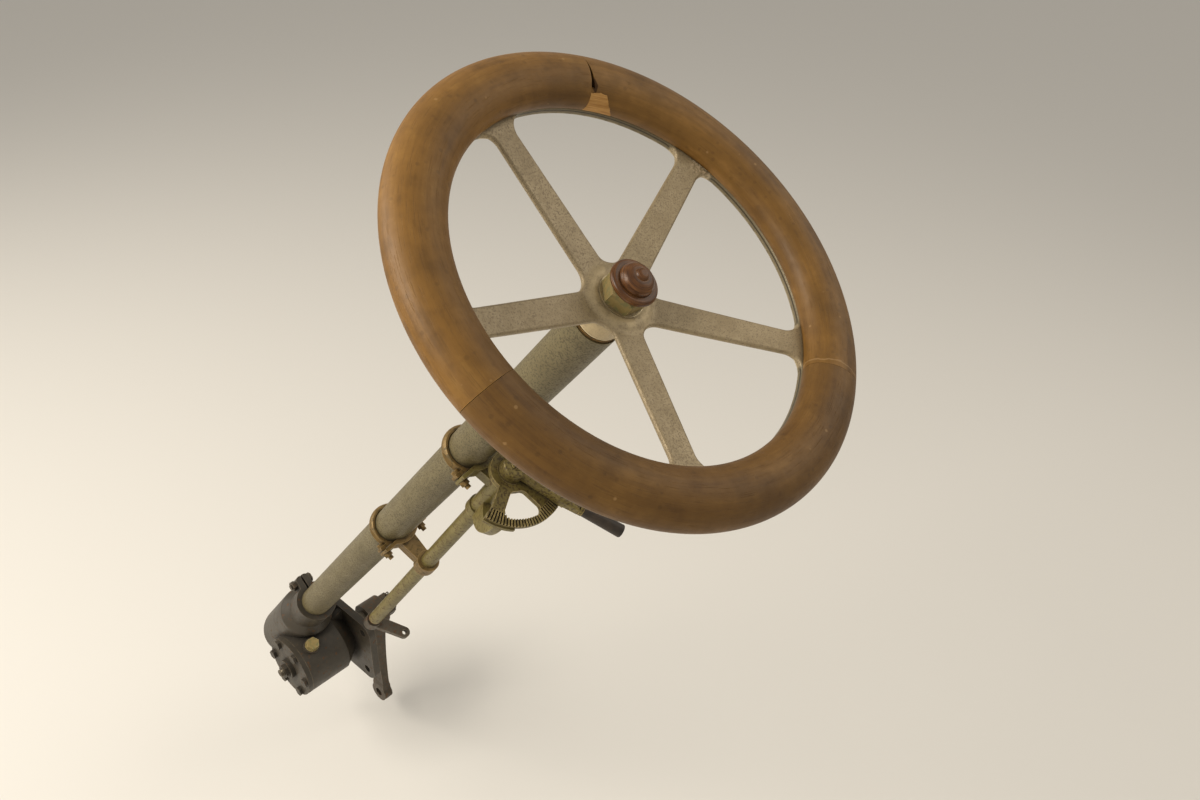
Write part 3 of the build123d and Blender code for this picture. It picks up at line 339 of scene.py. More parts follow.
freckles, given, made = new_group("freckles", {"Size": 0.002, "Cover": 0.3, "Seed": 0.0}, "Mask")
where = node(freckles, "ShaderNodeTexCoord").outputs["Object"]
per_cell = maths(freckles, "DIVIDE", 1.0, given["Size"])
cells = node(
    freckles, "ShaderNodeTexVoronoi", {"Vector": where, "Scale": per_cell}, voronoi_dimensions="3D"
)
chosen = node(freckles, "ShaderNodeSeparateColor", {0: cells.outputs["Color"]}).outputs[0]
small = rise(freckles, cells.outputs["Distance"], SPOT_OUTER, SPOT_INNER)
kept = maths(freckles, "LESS_THAN", chosen, given["Cover"])
freckles.links.new(product(freckles, small, kept), made["Mask"])
print("group:", freckles.name)

# %% [markdown]
# Most metal here has the same history: a ground colour that has mottled, bright edges, grime in
# the corners, and a skin from the foundry or from the brush. The corners also get painted shade,
# laid on with the grime. One function builds that tree, and a table gives each finish its own
# colours and sizes. The order of the layers is the order in which they came on the real piece:
# ground, flecks, rubbing, and dirt over all, with the painted shade laid on together with the dirt.

# %% Aged metal and paint
FINE_SIZE = 0.18  # of the fine mottling, against the broad
BROAD_SHARE, FINE_SHARE = 0.6, 0.4  # of the tone
PATCHY = 0.06  # how far the mottling moves the roughness, either way
DUSTY = 0.85  # roughness of grime
FLECK_DEPTH = 0.35  # against the height of the casting skin


def bare_material(name):
    """A material with one Principled shader, and its tree."""
    material = bpy.data.materials.new(name)
    material.use_nodes = True
    return material, material.node_tree, material.node_tree.nodes["Principled BSDF"]


def join(tree, shader, color, roughness, metallic, height, depth, strength=0.6):
    """Feeds a shader's colour, roughness and metal, and its bump from a height."""
    feed(tree, shader.inputs["Base Color"], color)
    feed(tree, shader.inputs["Roughness"], roughness)
    feed(tree, shader.inputs["Metallic"], metallic)
    inputs = {"Strength": strength, "Distance": depth, "Height": height}
    feed(tree, shader.inputs["Normal"], node(tree, "ShaderNodeBump", inputs).outputs[0])


def aged(name, ground, fleck, bright, soot_and_shade, metal, rough, sizes, wear, dirt_and_shade, grain, depth, seed):
    """Ground mottled from dark to light, flecked, rubbed bright at its edges, and darkened in corners
    by grime with painted shade.

    metal and rough each give ground, fleck and bright; sizes give the mottling, the flecks and
    the flecks' cover; wear and dirt_and_shade give reach and amount; soot_and_shade is the colour
    of the grime and painted shade; grain is the size of the skin."""
    material, tree, shader = bare_material(name)
    mottle_size, fleck_size, fleck_cover = sizes
    fine_size = mottle_size * FINE_SIZE
    broad = use(tree, patches, Size=mottle_size, Cover=0.5, Softness=0.22, Seed=seed)[0]
    fine = use(tree, patches, Size=fine_size, Cover=0.5, Softness=0.25, Seed=seed + 3)[0]
    tone = total(tree, product(tree, broad, BROAD_SHARE), product(tree, fine, FINE_SHARE))
    spot = use(tree, patches, Size=fleck_size, Cover=fleck_cover, Softness=0.04, Seed=seed + 7)[0]
    edge = use(tree, worn_edges, Reach=wear[0], Amount=wear[1], Seed=seed)[0]
    # Grime with painted shade in the corners, from ambient occlusion.
    dust_and_shade = use(tree, grime_and_shade, Reach=dirt_and_shade[0], Amount=dirt_and_shade[1], Seed=seed)[0]

    color = blend(tree, tone, srgb(*ground[0]), srgb(*ground[1]))
    color = blend(tree, spot, color, srgb(*fleck))
    color = blend(tree, edge, color, srgb(*bright))
    # Painted shade and grime: the corners are darkened to the soot colour.
    color = blend(tree, dust_and_shade, color, srgb(*soot_and_shade))
    metallic = between(tree, edge, between(tree, spot, metal[0], metal[1]), metal[2])
    metallic = product(tree, metallic, maths(tree, "SUBTRACT", 1.0, dust_and_shade))
    patchy = between(tree, tone, rough[0] + PATCHY, rough[0] - PATCHY)
    roughness = between(tree, edge, between(tree, spot, patchy, rough[1]), rough[2])
    roughness = between(tree, dust_and_shade, roughness, DUSTY)
    skin = use(tree, casting_skin, Grain=grain, Pits=0.5, Seed=seed)[0]
    height = maths(tree, "SUBTRACT", skin, product(tree, spot, FLECK_DEPTH))
    join(tree, shader, color, roughness, metallic, height, depth)
    return material


print("helpers: bare_material, join and aged")

# %% [markdown]
# The table holds what differs. The ground has two colours, the darker and the lighter of its
# mottling, and all colours are those of the piece in even light. Through the mask of grime and
# painted shade, soot_and_shade darkens the corners. The spider is a dull cast alloy, the column
# has grey-green paint, the clips are bronze, and the box is a greasy painted casting.

# %% The finishes
FINISHES = {
    "spider_metal": dict(
        ground=((146, 129, 98), (168, 151, 119)), fleck=(135, 119, 93),
        bright=(228, 212, 178), soot_and_shade=(78, 63, 42),
        metal=(0.25, 0.25, 0.5), rough=(0.42, 0.5, 0.32), sizes=(0.022, 0.0013, 0.36),
        wear=(0.0038, 0.8), dirt_and_shade=(0.006, 0.45), grain=0.0009, depth=0.00025, seed=1.0,
    ),
    "nut_brass": dict(
        ground=((138, 121, 74), (164, 144, 94)), fleck=(128, 122, 80),
        bright=(204, 184, 136), soot_and_shade=(72, 60, 36),
        metal=(0.3, 0.25, 0.6), rough=(0.42, 0.5, 0.32), sizes=(0.012, 0.005, 0.4),
        wear=(0.0012, 0.9), dirt_and_shade=(0.004, 0.35), grain=0.0008, depth=0.00012, seed=2.0,
    ),
    "wheel_washer": dict(
        ground=((140, 126, 96), (166, 152, 120)), fleck=(128, 112, 82),
        bright=(220, 206, 176), soot_and_shade=(84, 68, 46),
        metal=(0.6, 0.3, 0.85), rough=(0.36, 0.55, 0.25), sizes=(0.01, 0.003, 0.25),
        wear=(0.0012, 1.0), dirt_and_shade=(0.002, 0.4), grain=0.0007, depth=0.00008, seed=2.5,
    ),
    "shaft_steel": dict(
        ground=((104, 96, 82), (132, 124, 108)), fleck=(98, 70, 46),
        bright=(172, 166, 150), soot_and_shade=(44, 34, 22),
        metal=(0.85, 0.2, 0.95), rough=(0.38, 0.7, 0.25), sizes=(0.02, 0.006, 0.25),
        wear=(0.001, 0.7), dirt_and_shade=(0.01, 0.7), grain=0.0006, depth=0.00008, seed=3.0,
    ),
    "bush_bronze": dict(
        ground=((108, 80, 42), (138, 106, 60)), fleck=(84, 72, 40),
        bright=(186, 148, 90), soot_and_shade=(46, 32, 18),
        metal=(0.65, 0.3, 0.85), rough=(0.4, 0.6, 0.28), sizes=(0.015, 0.005, 0.3),
        wear=(0.0012, 0.9), dirt_and_shade=(0.006, 0.7), grain=0.0007, depth=0.0001, seed=4.0,
    ),
    "column_paint": dict(
        ground=((96, 86, 56), (114, 103, 70)), fleck=(80, 70, 44),
        bright=(146, 132, 92), soot_and_shade=(52, 45, 29),
        metal=(0.05, 0.05, 0.45), rough=(0.48, 0.56, 0.4), sizes=(0.03, 0.0017, 0.42),
        wear=(0.0012, 0.7), dirt_and_shade=(0.012, 0.7), grain=0.0016, depth=0.00025, seed=5.0,
    ),
    "clip_bronze": dict(
        ground=((104, 82, 44), (132, 107, 60)), fleck=(88, 72, 36),
        bright=(180, 150, 98), soot_and_shade=(50, 37, 19),
        metal=(0.35, 0.2, 0.7), rough=(0.48, 0.58, 0.36), sizes=(0.012, 0.005, 0.36),
        wear=(0.0014, 0.8), dirt_and_shade=(0.006, 0.8), grain=0.0011, depth=0.0002, seed=6.0,
    ),
    "control_paint": dict(
        ground=((98, 87, 43), (122, 110, 59)), fleck=(84, 64, 31),
        bright=(164, 148, 96), soot_and_shade=(48, 38, 19),
        metal=(0.15, 0.2, 0.6), rough=(0.44, 0.54, 0.36), sizes=(0.02, 0.003, 0.34),
        wear=(0.0014, 0.8), dirt_and_shade=(0.008, 0.7), grain=0.0013, depth=0.0002, seed=7.0,
    ),
    "lever_brass": dict(
        ground=((92, 80, 40), (124, 110, 60)), fleck=(74, 60, 30),
        bright=(176, 156, 104), soot_and_shade=(40, 31, 16),
        metal=(0.35, 0.2, 0.7), rough=(0.44, 0.56, 0.34), sizes=(0.012, 0.0026, 0.4),
        wear=(0.0014, 1.0), dirt_and_shade=(0.005, 0.85), grain=0.0011, depth=0.00025, seed=8.0,
    ),
    "box_iron": dict(
        ground=((50, 45, 37), (70, 63, 51)), fleck=(86, 62, 40),
        bright=(118, 106, 88), soot_and_shade=(28, 23, 16),
        metal=(0.1, 0.1, 0.6), rough=(0.48, 0.75, 0.4), sizes=(0.05, 0.007, 0.22),
        wear=(0.002, 0.7), dirt_and_shade=(0.018, 0.9), grain=0.0022, depth=0.0007, seed=9.0,
    ),
    "arm_steel": dict(
        ground=((66, 59, 49), (92, 83, 70)), fleck=(92, 64, 40),
        bright=(140, 130, 112), soot_and_shade=(30, 24, 16),
        metal=(0.55, 0.15, 0.85), rough=(0.46, 0.75, 0.34), sizes=(0.03, 0.005, 0.3),
        wear=(0.0018, 0.8), dirt_and_shade=(0.01, 0.8), grain=0.0018, depth=0.0004, seed=10.0,
    ),
}
materials = {name: aged(name, **finish) for name, finish in FINISHES.items()}
print("aged finishes:", len(materials))

# %% [markdown]
# The rim's grain, its joints and the marks on the spider follow the wheel, which leans with the
# column. So one group measures each point from the middle of the wheel: to the right, towards
# the top, up the column, and straight out from the axis. It starts from Object coordinates, so
# the pattern stays on the wood when the wheel turns.

# %% Where a point lies on the wheel
wheel_place, given, made = new_group("place on the wheel", {}, "Right", "Top", "Height", "Radius")
where = node(wheel_place, "ShaderNodeTexCoord").outputs["Object"]
from_middle = node(
    wheel_place, "ShaderNodeVectorMath", {0: where, 1: tuple(WHEEL)}, operation="SUBTRACT"
).outputs[0]
measured = {}
for label, direction in zip(("Right", "Top", "Height"), WHEEL_AXES):
    inputs = {0: from_middle, 1: tuple(direction)}
    part = node(wheel_place, "ShaderNodeVectorMath", inputs, operation="DOT_PRODUCT")
    measured[label] = part.outputs["Value"]
    wheel_place.links.new(measured[label], made[label])
squares = [maths(wheel_place, "POWER", measured[label], 2.0) for label in ("Right", "Top")]
wheel_place.links.new(maths(wheel_place, "SQRT", total(wheel_place, *squares)), made["Radius"])


def near_line(tree, angle, shift=0.0):
    """Distance along the rim from the plane through the axis at an angle, plus a shift."""
    spot = use(tree, wheel_place)
    across = product(tree, spot["Right"], -sin(radians(angle)))
    along = product(tree, spot["Top"], cos(radians(angle)))
    return total(tree, across, along, shift)


print("group:", wheel_place.name)

# %% [markdown]
# The rim is bent wood, so its grain runs round the wheel. A wood texture with straight rings
# would be cut across at the sides, so the noise is stretched round the wheel: the place in the
# wheel's plane goes in slowly, and the height and the distance from the axis go in fast, as the
# noise's last two directions.

# %% Grain of the rim
rim_grain, given, made = new_group(
    "rim grain", {"Along": 30.0, "Across": 500.0, "Seed": 0.0}, "Streaks"
)
spot = use(rim_grain, wheel_place)
inputs = {
    0: product(rim_grain, spot["Right"], given["Along"]),
    1: product(rim_grain, spot["Top"], given["Along"]),
    2: product(rim_grain, spot["Height"], given["Across"]),
}
stretched = node(rim_grain, "ShaderNodeCombineXYZ", inputs).outputs[0]
outward = total(rim_grain, product(rim_grain, spot["Radius"], given["Across"]), given["Seed"])
streaks = noise(rim_grain, 1.0, outward, 4.0, stretched, 0.6)
rim_grain.links.new(streaks, made["Streaks"])
print("group:", rim_grain.name)

# %% [markdown]
# At the top the wood has split open at a joint, and a corner has broken off at the split's foot.
# The model has the open crack. The hollow shadow beside it and the chip of bare wood are masks
# here, given by the distance from the joint and from the axis, and for the chip by the height
# too. Noise makes three of the chip's borders ragged.

# %% Crack and chip
RIM_CENTRE = 181.4 * MM
CHIP_ANGLE = 65.3
CHIP_RIGHT, CHIP_LEFT = -15.2 * MM, 12.0 * MM
CHIP_TOP = 11.9 * MM
CHIP_OUTER = RIM_CENTRE - 9 * MM
RIGHT_LEAN = 0.7  # the right border leans by this much of the height
PEAK_PLACE, PEAK_SLOPE = -1.5 * MM, 0.14  # the upper border falls away on both sides
SIDE_BLUR, TOP_BLUR = 0.4 * MM, 0.3 * MM
RAGGED = 4.0 * MM
CRACK_FOOT_ANGLE = 66.1
CRACK_FOOT, CRACK_TIP = 161.5 * MM, 185.0 * MM
CRACK_LEAN = 0.43
FOOT_TAPER, TIP_TAPER = 0.7, 0.22
CRACK_SIDE = 1.0 * MM
CRACK_HALF_WIDTH = 0.6 * MM
CRACK_BLUR = 1.2 * MM


def bare_chip(tree):
    """1 inside four borders: right, left and top, with a little noise, and a plain outer one."""
    spot = use(tree, wheel_place)
    wander = product(tree, maths(tree, "SUBTRACT", noise(tree, 240.0, 2.0), 0.5), RAGGED)
    along = near_line(tree, CHIP_ANGLE)
    leaning = maths(tree, "SUBTRACT", along, product(tree, spot["Height"], RIGHT_LEAN))
    right = total(tree, leaning, wander)
    right = rise(tree, right, CHIP_RIGHT - SIDE_BLUR, CHIP_RIGHT + SIDE_BLUR)
    left = total(tree, along, wander)
    left = rise(tree, left, CHIP_LEFT + SIDE_BLUR, CHIP_LEFT - SIDE_BLUR)
    fall = product(tree, distance(tree, along, PEAK_PLACE), PEAK_SLOPE)
    top = total(tree, spot["Height"], fall, wander)
    top = rise(tree, top, CHIP_TOP + TOP_BLUR, CHIP_TOP - TOP_BLUR)
    upper = maths(tree, "GREATER_THAN", spot["Top"], 0.0)
    inner = maths(tree, "LESS_THAN", spot["Radius"], CHIP_OUTER)
    return product(tree, right, left, top, upper, inner)


def crack_shadow(tree):
    """1 beside the crack: a leaning sliver, widest near its foot and narrow towards its tip."""
    spot = use(tree, wheel_place)
    outward = maths(tree, "SUBTRACT", spot["Radius"], CRACK_FOOT)
    line = product(tree, outward, CRACK_LEAN)
    beside = maths(tree, "SUBTRACT", near_line(tree, CRACK_FOOT_ANGLE), line)
    from_tip = maths(tree, "SUBTRACT", CRACK_TIP, spot["Radius"])
    foot_width, tip_width = product(tree, outward, FOOT_TAPER), product(tree, from_tip, TIP_TAPER)
    wide = total(tree, maths(tree, "MINIMUM", foot_width, tip_width), CRACK_HALF_WIDTH)
    inside = maths(tree, "SUBTRACT", wide, distance(tree, beside, CRACK_SIDE))
    upper = maths(tree, "GREATER_THAN", spot["Top"], 0.0)
    return product(tree, rise(tree, inside, 0.0, CRACK_BLUR), upper)


print("chip at", CHIP_ANGLE, "degrees, between", CHIP_RIGHT, "and", CHIP_LEFT, "m along the rim")

# %% [markdown]
# Old varnish lies over the wood. Its tone comes from broad clouds, fine mottling and the streaks
# of the grain, added up. Over that come dark stains from hands, pores, specks and a few pale
# nicks, then grime with painted shade in the corners, and worn edges. The sheen is soft: varnish
# this old is no longer glossy, so no coat is used.

# %% Varnished wood
SHEEN = 0.32  # specular level of the old varnish
# The second colour is that of grime with painted shade in the corners.
NICK, WOOD_SOOT_AND_SHADE = (186, 150, 100), (34, 22, 10)
WOOD_BUMP = 0.4 * MM
CLOUD_SHARE, MOTTLE_SHARE, STREAK_SHARE = 0.42, 0.2, 0.38  # of the tone
HAND_STRENGTH, MARK_STRENGTH = 0.55, 0.3  # of hands, and of pores, specks and nicks
STREAK_RANGE, PORE_RANGE = (0.3, 0.7), (0.44, 0.34)  # of the grain's noise
TO_MIDDLE, TO_LIGHT = (0.1, 0.55), (0.5, 1.0)  # stretches of the tone
DULL_ROUGH, RUBBED_ROUGH, PORE_ROUGH = 0.54, 0.46, 0.65
BAND_HEIGHT, PORE_HEIGHT, MOTTLE_HEIGHT = 0.5, 0.25, 0.3


def rim_wood(name, dark, middle, light, stain, seed):
    """Tone is the sum of clouds, mottling and streaks; it runs from dark over middle to light.

    Returns the material, its tree and shader, and the sockets of colour, roughness and height."""
    material, tree, shader = bare_material(name)
    fibre = use(tree, rim_grain, Along=55.0, Across=1400.0, Seed=seed)[0]
    band = use(tree, rim_grain, Along=12.0, Across=160.0, Seed=seed + 5)[0]
    cloud = use(tree, patches, Size=0.045, Cover=0.5, Softness=0.25, Seed=seed)[0]
    mottle = use(tree, patches, Size=0.009, Cover=0.5, Softness=0.25, Seed=seed + 2)[0]
    clouds, mottling = product(tree, cloud, CLOUD_SHARE), product(tree, mottle, MOTTLE_SHARE)
    streaks = product(tree, rise(tree, band, *STREAK_RANGE), STREAK_SHARE)
    tone = total(tree, clouds, mottling, streaks)
    color = blend(tree, rise(tree, tone, *TO_MIDDLE), srgb(*dark), srgb(*middle))
    color = blend(tree, rise(tree, tone, *TO_LIGHT), color, srgb(*light))

    hands = use(tree, patches, Size=0.07, Cover=0.3, Softness=0.14, Seed=seed + 9)[0]
    pores = rise(tree, fibre, *PORE_RANGE)
    specks = use(tree, freckles, Size=0.006, Cover=0.14, Seed=seed)[0]
    nicks = use(tree, freckles, Size=0.0045, Cover=0.012, Seed=seed)[0]
    color = tint(tree, color, hands, HAND_STRENGTH, *stain)
    color = tint(tree, color, pores, MARK_STRENGTH, *stain)
    color = tint(tree, color, specks, MARK_STRENGTH, *stain)
    color = tint(tree, color, nicks, MARK_STRENGTH, *NICK)
    # Grime with painted shade in the wood's corners, from ambient occlusion.
    dust_and_shade = use(tree, grime_and_shade, Reach=0.004, Amount=0.8, Seed=seed)[0]
    color = blend(tree, dust_and_shade, color, srgb(*WOOD_SOOT_AND_SHADE))
    edge = use(tree, worn_edges, Reach=0.0012, Amount=0.5, Seed=seed)[0]
    color = blend(tree, edge, color, srgb(*light))

    roughness = between(tree, mottle, DULL_ROUGH, RUBBED_ROUGH)
    roughness = between(tree, pores, roughness, PORE_ROUGH)
    raised, sunk = product(tree, band, BAND_HEIGHT), product(tree, pores, PORE_HEIGHT)
    height = maths(tree, "SUBTRACT", raised, sunk)
    height = total(tree, height, product(tree, mottle, MOTTLE_HEIGHT))
    return material, tree, shader, color, roughness, height


print("helper: rim_wood")

# %% [markdown]
# The three pieces of the rim differ: the one nearest the driver is darker and greyer. The right
# piece also has a pale line across it, taken here for old glue, and the chip and the crack's
# shadow. These are added to its tree before it goes into the shader.

# %% The three pieces of wood
GLUE_ANGLE, GLUE_SHIFT = 306.0, -4.0 * MM
GLUE_WANDER = 12.0 * MM
CHIP_DEPTH = 3.0  # against the wood's own height
OLD_GLUE, CRACK_DARK = (168, 136, 92), (48, 28, 10)
RAW_DARK, RAW_LIGHT = (166, 118, 60), (204, 158, 94)
WOODS = {
    # piece: dark, middle, light, stain, seed
    "rim_front": ((104, 73, 30), (127, 91, 40), (148, 110, 53), (81, 56, 23), 11.0),
    "rim_rear": ((89, 61, 25), (107, 76, 33), (126, 92, 43), (69, 47, 20), 12.0),
    "rim_right": ((99, 69, 28), (119, 85, 36), (141, 103, 49), (76, 53, 22), 13.0),
}


def glued_and_chipped(tree, color, roughness, height):
    """Adds the glue line, the crack's shadow and the chip of bare wood, in that order."""
    wander = product(tree, maths(tree, "SUBTRACT", noise(tree, 60.0, 4.0), 0.5), GLUE_WANDER)
    line = maths(tree, "ABSOLUTE", total(tree, near_line(tree, GLUE_ANGLE, GLUE_SHIFT), wander))
    glue = rise(tree, line, 0.0009, 0.0003)
    color = tint(tree, color, glue, 0.4, *OLD_GLUE)
    height = total(tree, height, product(tree, glue, 0.4))

    shadow, chip = crack_shadow(tree), bare_chip(tree)
    color = tint(tree, color, shadow, 0.85, *CRACK_DARK)
    fibres = use(tree, rim_grain, Along=60.0, Across=1100.0, Seed=3.0)[0]
    raw = blend(tree, rise(tree, fibres, *STREAK_RANGE), srgb(*RAW_DARK), srgb(*RAW_LIGHT))
    color = blend(tree, chip, color, raw)
    roughness = between(tree, chip, between(tree, shadow, roughness, 0.9), 0.7)
    height = maths(tree, "SUBTRACT", height, product(tree, chip, CHIP_DEPTH))
    return color, roughness, height


for name, (dark, middle, light, stain, seed) in WOODS.items():
    material, tree, shader, *layers = rim_wood(name, dark, middle, light, stain, seed)
    if name == "rim_right":
        layers = glued_and_chipped(tree, *layers)
    color, roughness, height = layers
    join(tree, shader, color, roughness, 0.0, height, WOOD_BUMP)
    shader.inputs["Specular IOR Level"].default_value = SHEEN
    materials[name] = material
print("woods:", list(WOODS))

# %% [markdown]
# The spider's ring is painted darker on its inner face, which is painted shade under the wood, and
# has a narrow dark line round it where the wood's edge strip ends: grime and the painted shade of
# a groove that is not modelled. The upper right spoke is scratched pale where it goes under the
# rim, and a lighter band round the hub, just outside the washer, is a painted highlight on its
# crown. All four follow the wheel, so they are masks from "place on the wheel", laid over the
# finish that the table gave.

# %% Marks on the spider
RING_FACE = 160.3 * MM
GROOVE_LEVEL = -10.4 * MM
FACE_FROM, FACE_FULL = -7.3 * MM, -8.2 * MM
SCRATCH_ANGLE = 24.0
SCRATCH_FROM, SCRATCH_TO = 146 * MM, 157 * MM
# The second pair gives where the painted highlight on the hub's crown fades in and out.
HUB_HIGHLIGHT_FROM, HUB_HIGHLIGHT_TO = 24 * MM, 35 * MM
# Each span gives how far from its middle a mark ends, and how far from it the mark is full.
GROOVE_SPAN, RING_SPAN, FACE_SPAN = (0.9 * MM, 0.5 * MM), (1.2 * MM, 0.6 * MM), (2 * MM, 1 * MM)
SCRATCH_SPAN = (16 * MM, 6 * MM)
SCRATCH_SCALE, HUB_HIGHLIGHT_NOISE = 420.0, 90.0
# The first colour is a painted highlight on the hub; the ring face's colour is painted shade, and the
# groove's is grime with painted shade.
HUB_HIGHLIGHT, SCRATCHED = (208, 188, 146), (226, 206, 172)
SHADED_RING_FACE, GROOVE_DIRT_AND_SHADE = (70, 66, 48), (44, 38, 24)

tree = materials["spider_metal"].node_tree
shader = tree.nodes["Principled BSDF"]
spot = use(tree, wheel_place)
off_face = distance(tree, spot["Radius"], RING_FACE)
# A dark line round the ring's inner face: grime and the painted shade of a groove that is not modelled.
off_level = distance(tree, spot["Height"], GROOVE_LEVEL)
groove = rise(tree, off_level, *GROOVE_SPAN)
groove = product(tree, rise(tree, off_face, *RING_SPAN), groove)
# Painted shade: the ring's inner face below its top is darkened.
ring_face_shade = rise(tree, spot["Height"], FACE_FROM, FACE_FULL)
ring_face_shade = product(tree, rise(tree, off_face, *FACE_SPAN), ring_face_shade)
scratches = product(
    tree,
    rise(tree, maths(tree, "ABSOLUTE", near_line(tree, SCRATCH_ANGLE)), *SCRATCH_SPAN),
    rise(tree, spot["Radius"], SCRATCH_FROM, SCRATCH_TO),
    maths(tree, "GREATER_THAN", spot["Right"], 0.0),
    rise(tree, noise(tree, SCRATCH_SCALE, 6.0, 5.0, roughness=0.7), 0.44, 0.58),
)
# Painted highlight: a lighter band round the hub's crown, broken up by noise.
hub_highlight_mask = rise(tree, spot["Radius"], HUB_HIGHLIGHT_TO, HUB_HIGHLIGHT_FROM)
hub_highlight_mask = product(tree, hub_highlight_mask, rise(tree, noise(tree, HUB_HIGHLIGHT_NOISE, 8.0), 0.3, 0.55))

color = shader.inputs["Base Color"].links[0].from_socket
color = tint(tree, color, hub_highlight_mask, 0.5, *HUB_HIGHLIGHT)
color = tint(tree, color, scratches, 0.7, *SCRATCHED)
color = tint(tree, color, ring_face_shade, 0.55, *SHADED_RING_FACE)
color = tint(tree, color, groove, 0.85, *GROOVE_DIRT_AND_SHADE)
tree.links.new(color, shader.inputs["Base Color"])
print(f"spider: groove at height {GROOVE_LEVEL:.4f} m, scratches at {SCRATCH_ANGLE} degrees")

# %% [markdown]
# The knob was turned on a lathe from dark wood and polished. Its rings run round the wheel's
# axis, as the rim's grain does, so it takes the same group with finer streaks. The polish is
# nearly glossy.

# %% Knob
KNOB_SEED = 21.0
KNOB_DARK, KNOB_LIGHT = (80, 48, 22), (116, 76, 40)
RING_DARK, RING_LIGHT = (48, 26, 11), (150, 102, 56)
# The last colour is that of grime with painted shade in the corners.
KNOB_WORN, KNOB_SOOT_AND_SHADE = (136, 98, 64), (32, 20, 12)

material, tree, shader = bare_material("knob_wood")
rings = use(tree, rim_grain, Along=60.0, Across=1500.0, Seed=KNOB_SEED)[0]
figure = use(tree, patches, Size=0.012, Cover=0.5, Softness=0.25, Seed=KNOB_SEED)[0]
edge = use(tree, worn_edges, Reach=0.0009, Amount=0.6, Seed=KNOB_SEED)[0]
# Grime with painted shade in the knob's corners, from ambient occlusion.
dust_and_shade = use(tree, grime_and_shade, Reach=0.003, Amount=0.9, Seed=KNOB_SEED)[0]
color = blend(tree, figure, srgb(*KNOB_DARK), srgb(*KNOB_LIGHT))
color = tint(tree, color, rise(tree, rings, 0.52, 0.36), 0.7, *RING_DARK)
color = tint(tree, color, rise(tree, rings, 0.54, 0.68), 0.6, *RING_LIGHT)
color = blend(tree, edge, color, srgb(*KNOB_WORN))
color = blend(tree, dust_and_shade, color, srgb(*KNOB_SOOT_AND_SHADE))
join(tree, shader, color, between(tree, figure, 0.36, 0.28), 0.0, rings, 0.06 * MM)
shader.inputs["Specular IOR Level"].default_value = 0.4
materials["knob_wood"] = material
print("finishes so far:", len(materials))

# %% [markdown]
# The lever's grip is hard black rubber, dull and a little brown with age, and rubbed lighter at
# its edges. A plain dark colour would look like new plastic, so a bloom of lighter patches and
# the fine grain of the mould are added.

# %% Grip
GRIP_SEED = 22.0
RUBBER_DARK, RUBBER_LIGHT, RUBBER_WORN = (34, 28, 22), (58, 46, 34), (92, 78, 60)

material, tree, shader = bare_material("grip_black")
bloom = use(tree, patches, Size=0.014, Cover=0.45, Softness=0.2, Seed=GRIP_SEED)[0]
edge = use(tree, worn_edges, Reach=0.0015, Amount=0.8, Seed=GRIP_SEED)[0]
fine = use(tree, casting_skin, Grain=0.0007, Pits=0.4, Seed=GRIP_SEED)[0]
color = blend(tree, bloom, srgb(*RUBBER_DARK), srgb(*RUBBER_LIGHT))
color = blend(tree, edge, color, srgb(*RUBBER_WORN))
join(tree, shader, color, between(tree, bloom, 0.5, 0.62), 0.0, fine, 0.15 * MM)
materials["grip_black"] = material
print("finishes so far:", len(materials))

# %% [markdown]
# The model's record says of what each piece is made. Where a finish has the name of the piece
# itself, as for the three woods and the washer, that one is used, and otherwise the one with the
# name of its material.

# %% Give every piece of the model its finish
for item in frame["record"]["subparts"]:
    piece = nodes[item["node"]]
    finish = materials.get(item["node"], materials.get(item["material_slot"]))
    piece.data.materials.clear()
    piece.data.materials.append(finish)
print("finishes in use:", len({piece.data.materials[0].name for piece in nodes.values()}))

# %% [markdown]
# The small fasteners are made here, not in the model: they have slots, domes and threads that
# are too fine for it. They could be built from cylinders with cuts, but a surface over a grid of
# two parameters has clean faces and no cuts that can fail. The helper joins the grid's points
# with four-cornered faces, closes both ends with a fan, and turns the faces round if the volume
# that they enclose comes out negative, so that they always look outwards.

# %% From a grid of points to a piece
SHARP_ANGLE = radians(38)  # edges sharper than this stay crisp


def surface(name, grid, finish, body):
    """A closed piece from an array of rows x columns x 3; the columns run round and meet."""
    rows, columns = grid.shape[:2]
    points = np.concatenate([grid.reshape(-1, 3), [grid[0].mean(0)], [grid[-1].mean(0)]])
    first, last = rows * columns, rows * columns + 1
    row, column = np.meshgrid(np.arange(rows - 1), np.arange(columns), indexing="ij")
    beside = (column + 1) % columns
    here, above = row * columns, (row + 1) * columns
    corners = [here + column, here + beside, above + beside, above + column]
    quads = np.stack(corners, -1).reshape(-1, 4)
    ring = np.arange(columns)
    along = (ring + 1) % columns
    foot = (rows - 1) * columns
    start = np.stack([np.full(columns, first), along, ring], -1)
    end = np.stack([np.full(columns, last), ring + foot, along + foot], -1)

    triangles = np.concatenate([quads[:, [0, 1, 2]], quads[:, [0, 2, 3]], start, end])
    a, b, c = (points[triangles[:, corner]] for corner in range(3))
    if np.einsum("ij,ij->", a, np.cross(b, c)) < 0:
        quads, start, end = quads[:, ::-1], start[:, ::-1], end[:, ::-1]
    mesh = bpy.data.meshes.new(name)
    mesh.from_pydata(points.tolist(), [], quads.tolist() + start.tolist() + end.tolist())
    mesh.shade_smooth()
    mesh.set_sharp_from_angle(angle=SHARP_ANGLE)
    mesh.materials.append(materials[finish])
    piece = bpy.data.objects.new(name, mesh)
    scene.collection.objects.link(piece)
    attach(piece, body)
    return piece


def round_about(count):
    """Angles that go once round, as a row of the grid."""
    return np.linspace(0, 2 * pi, count, endpoint=False)[None, :]


print("helpers: surface and round_about")

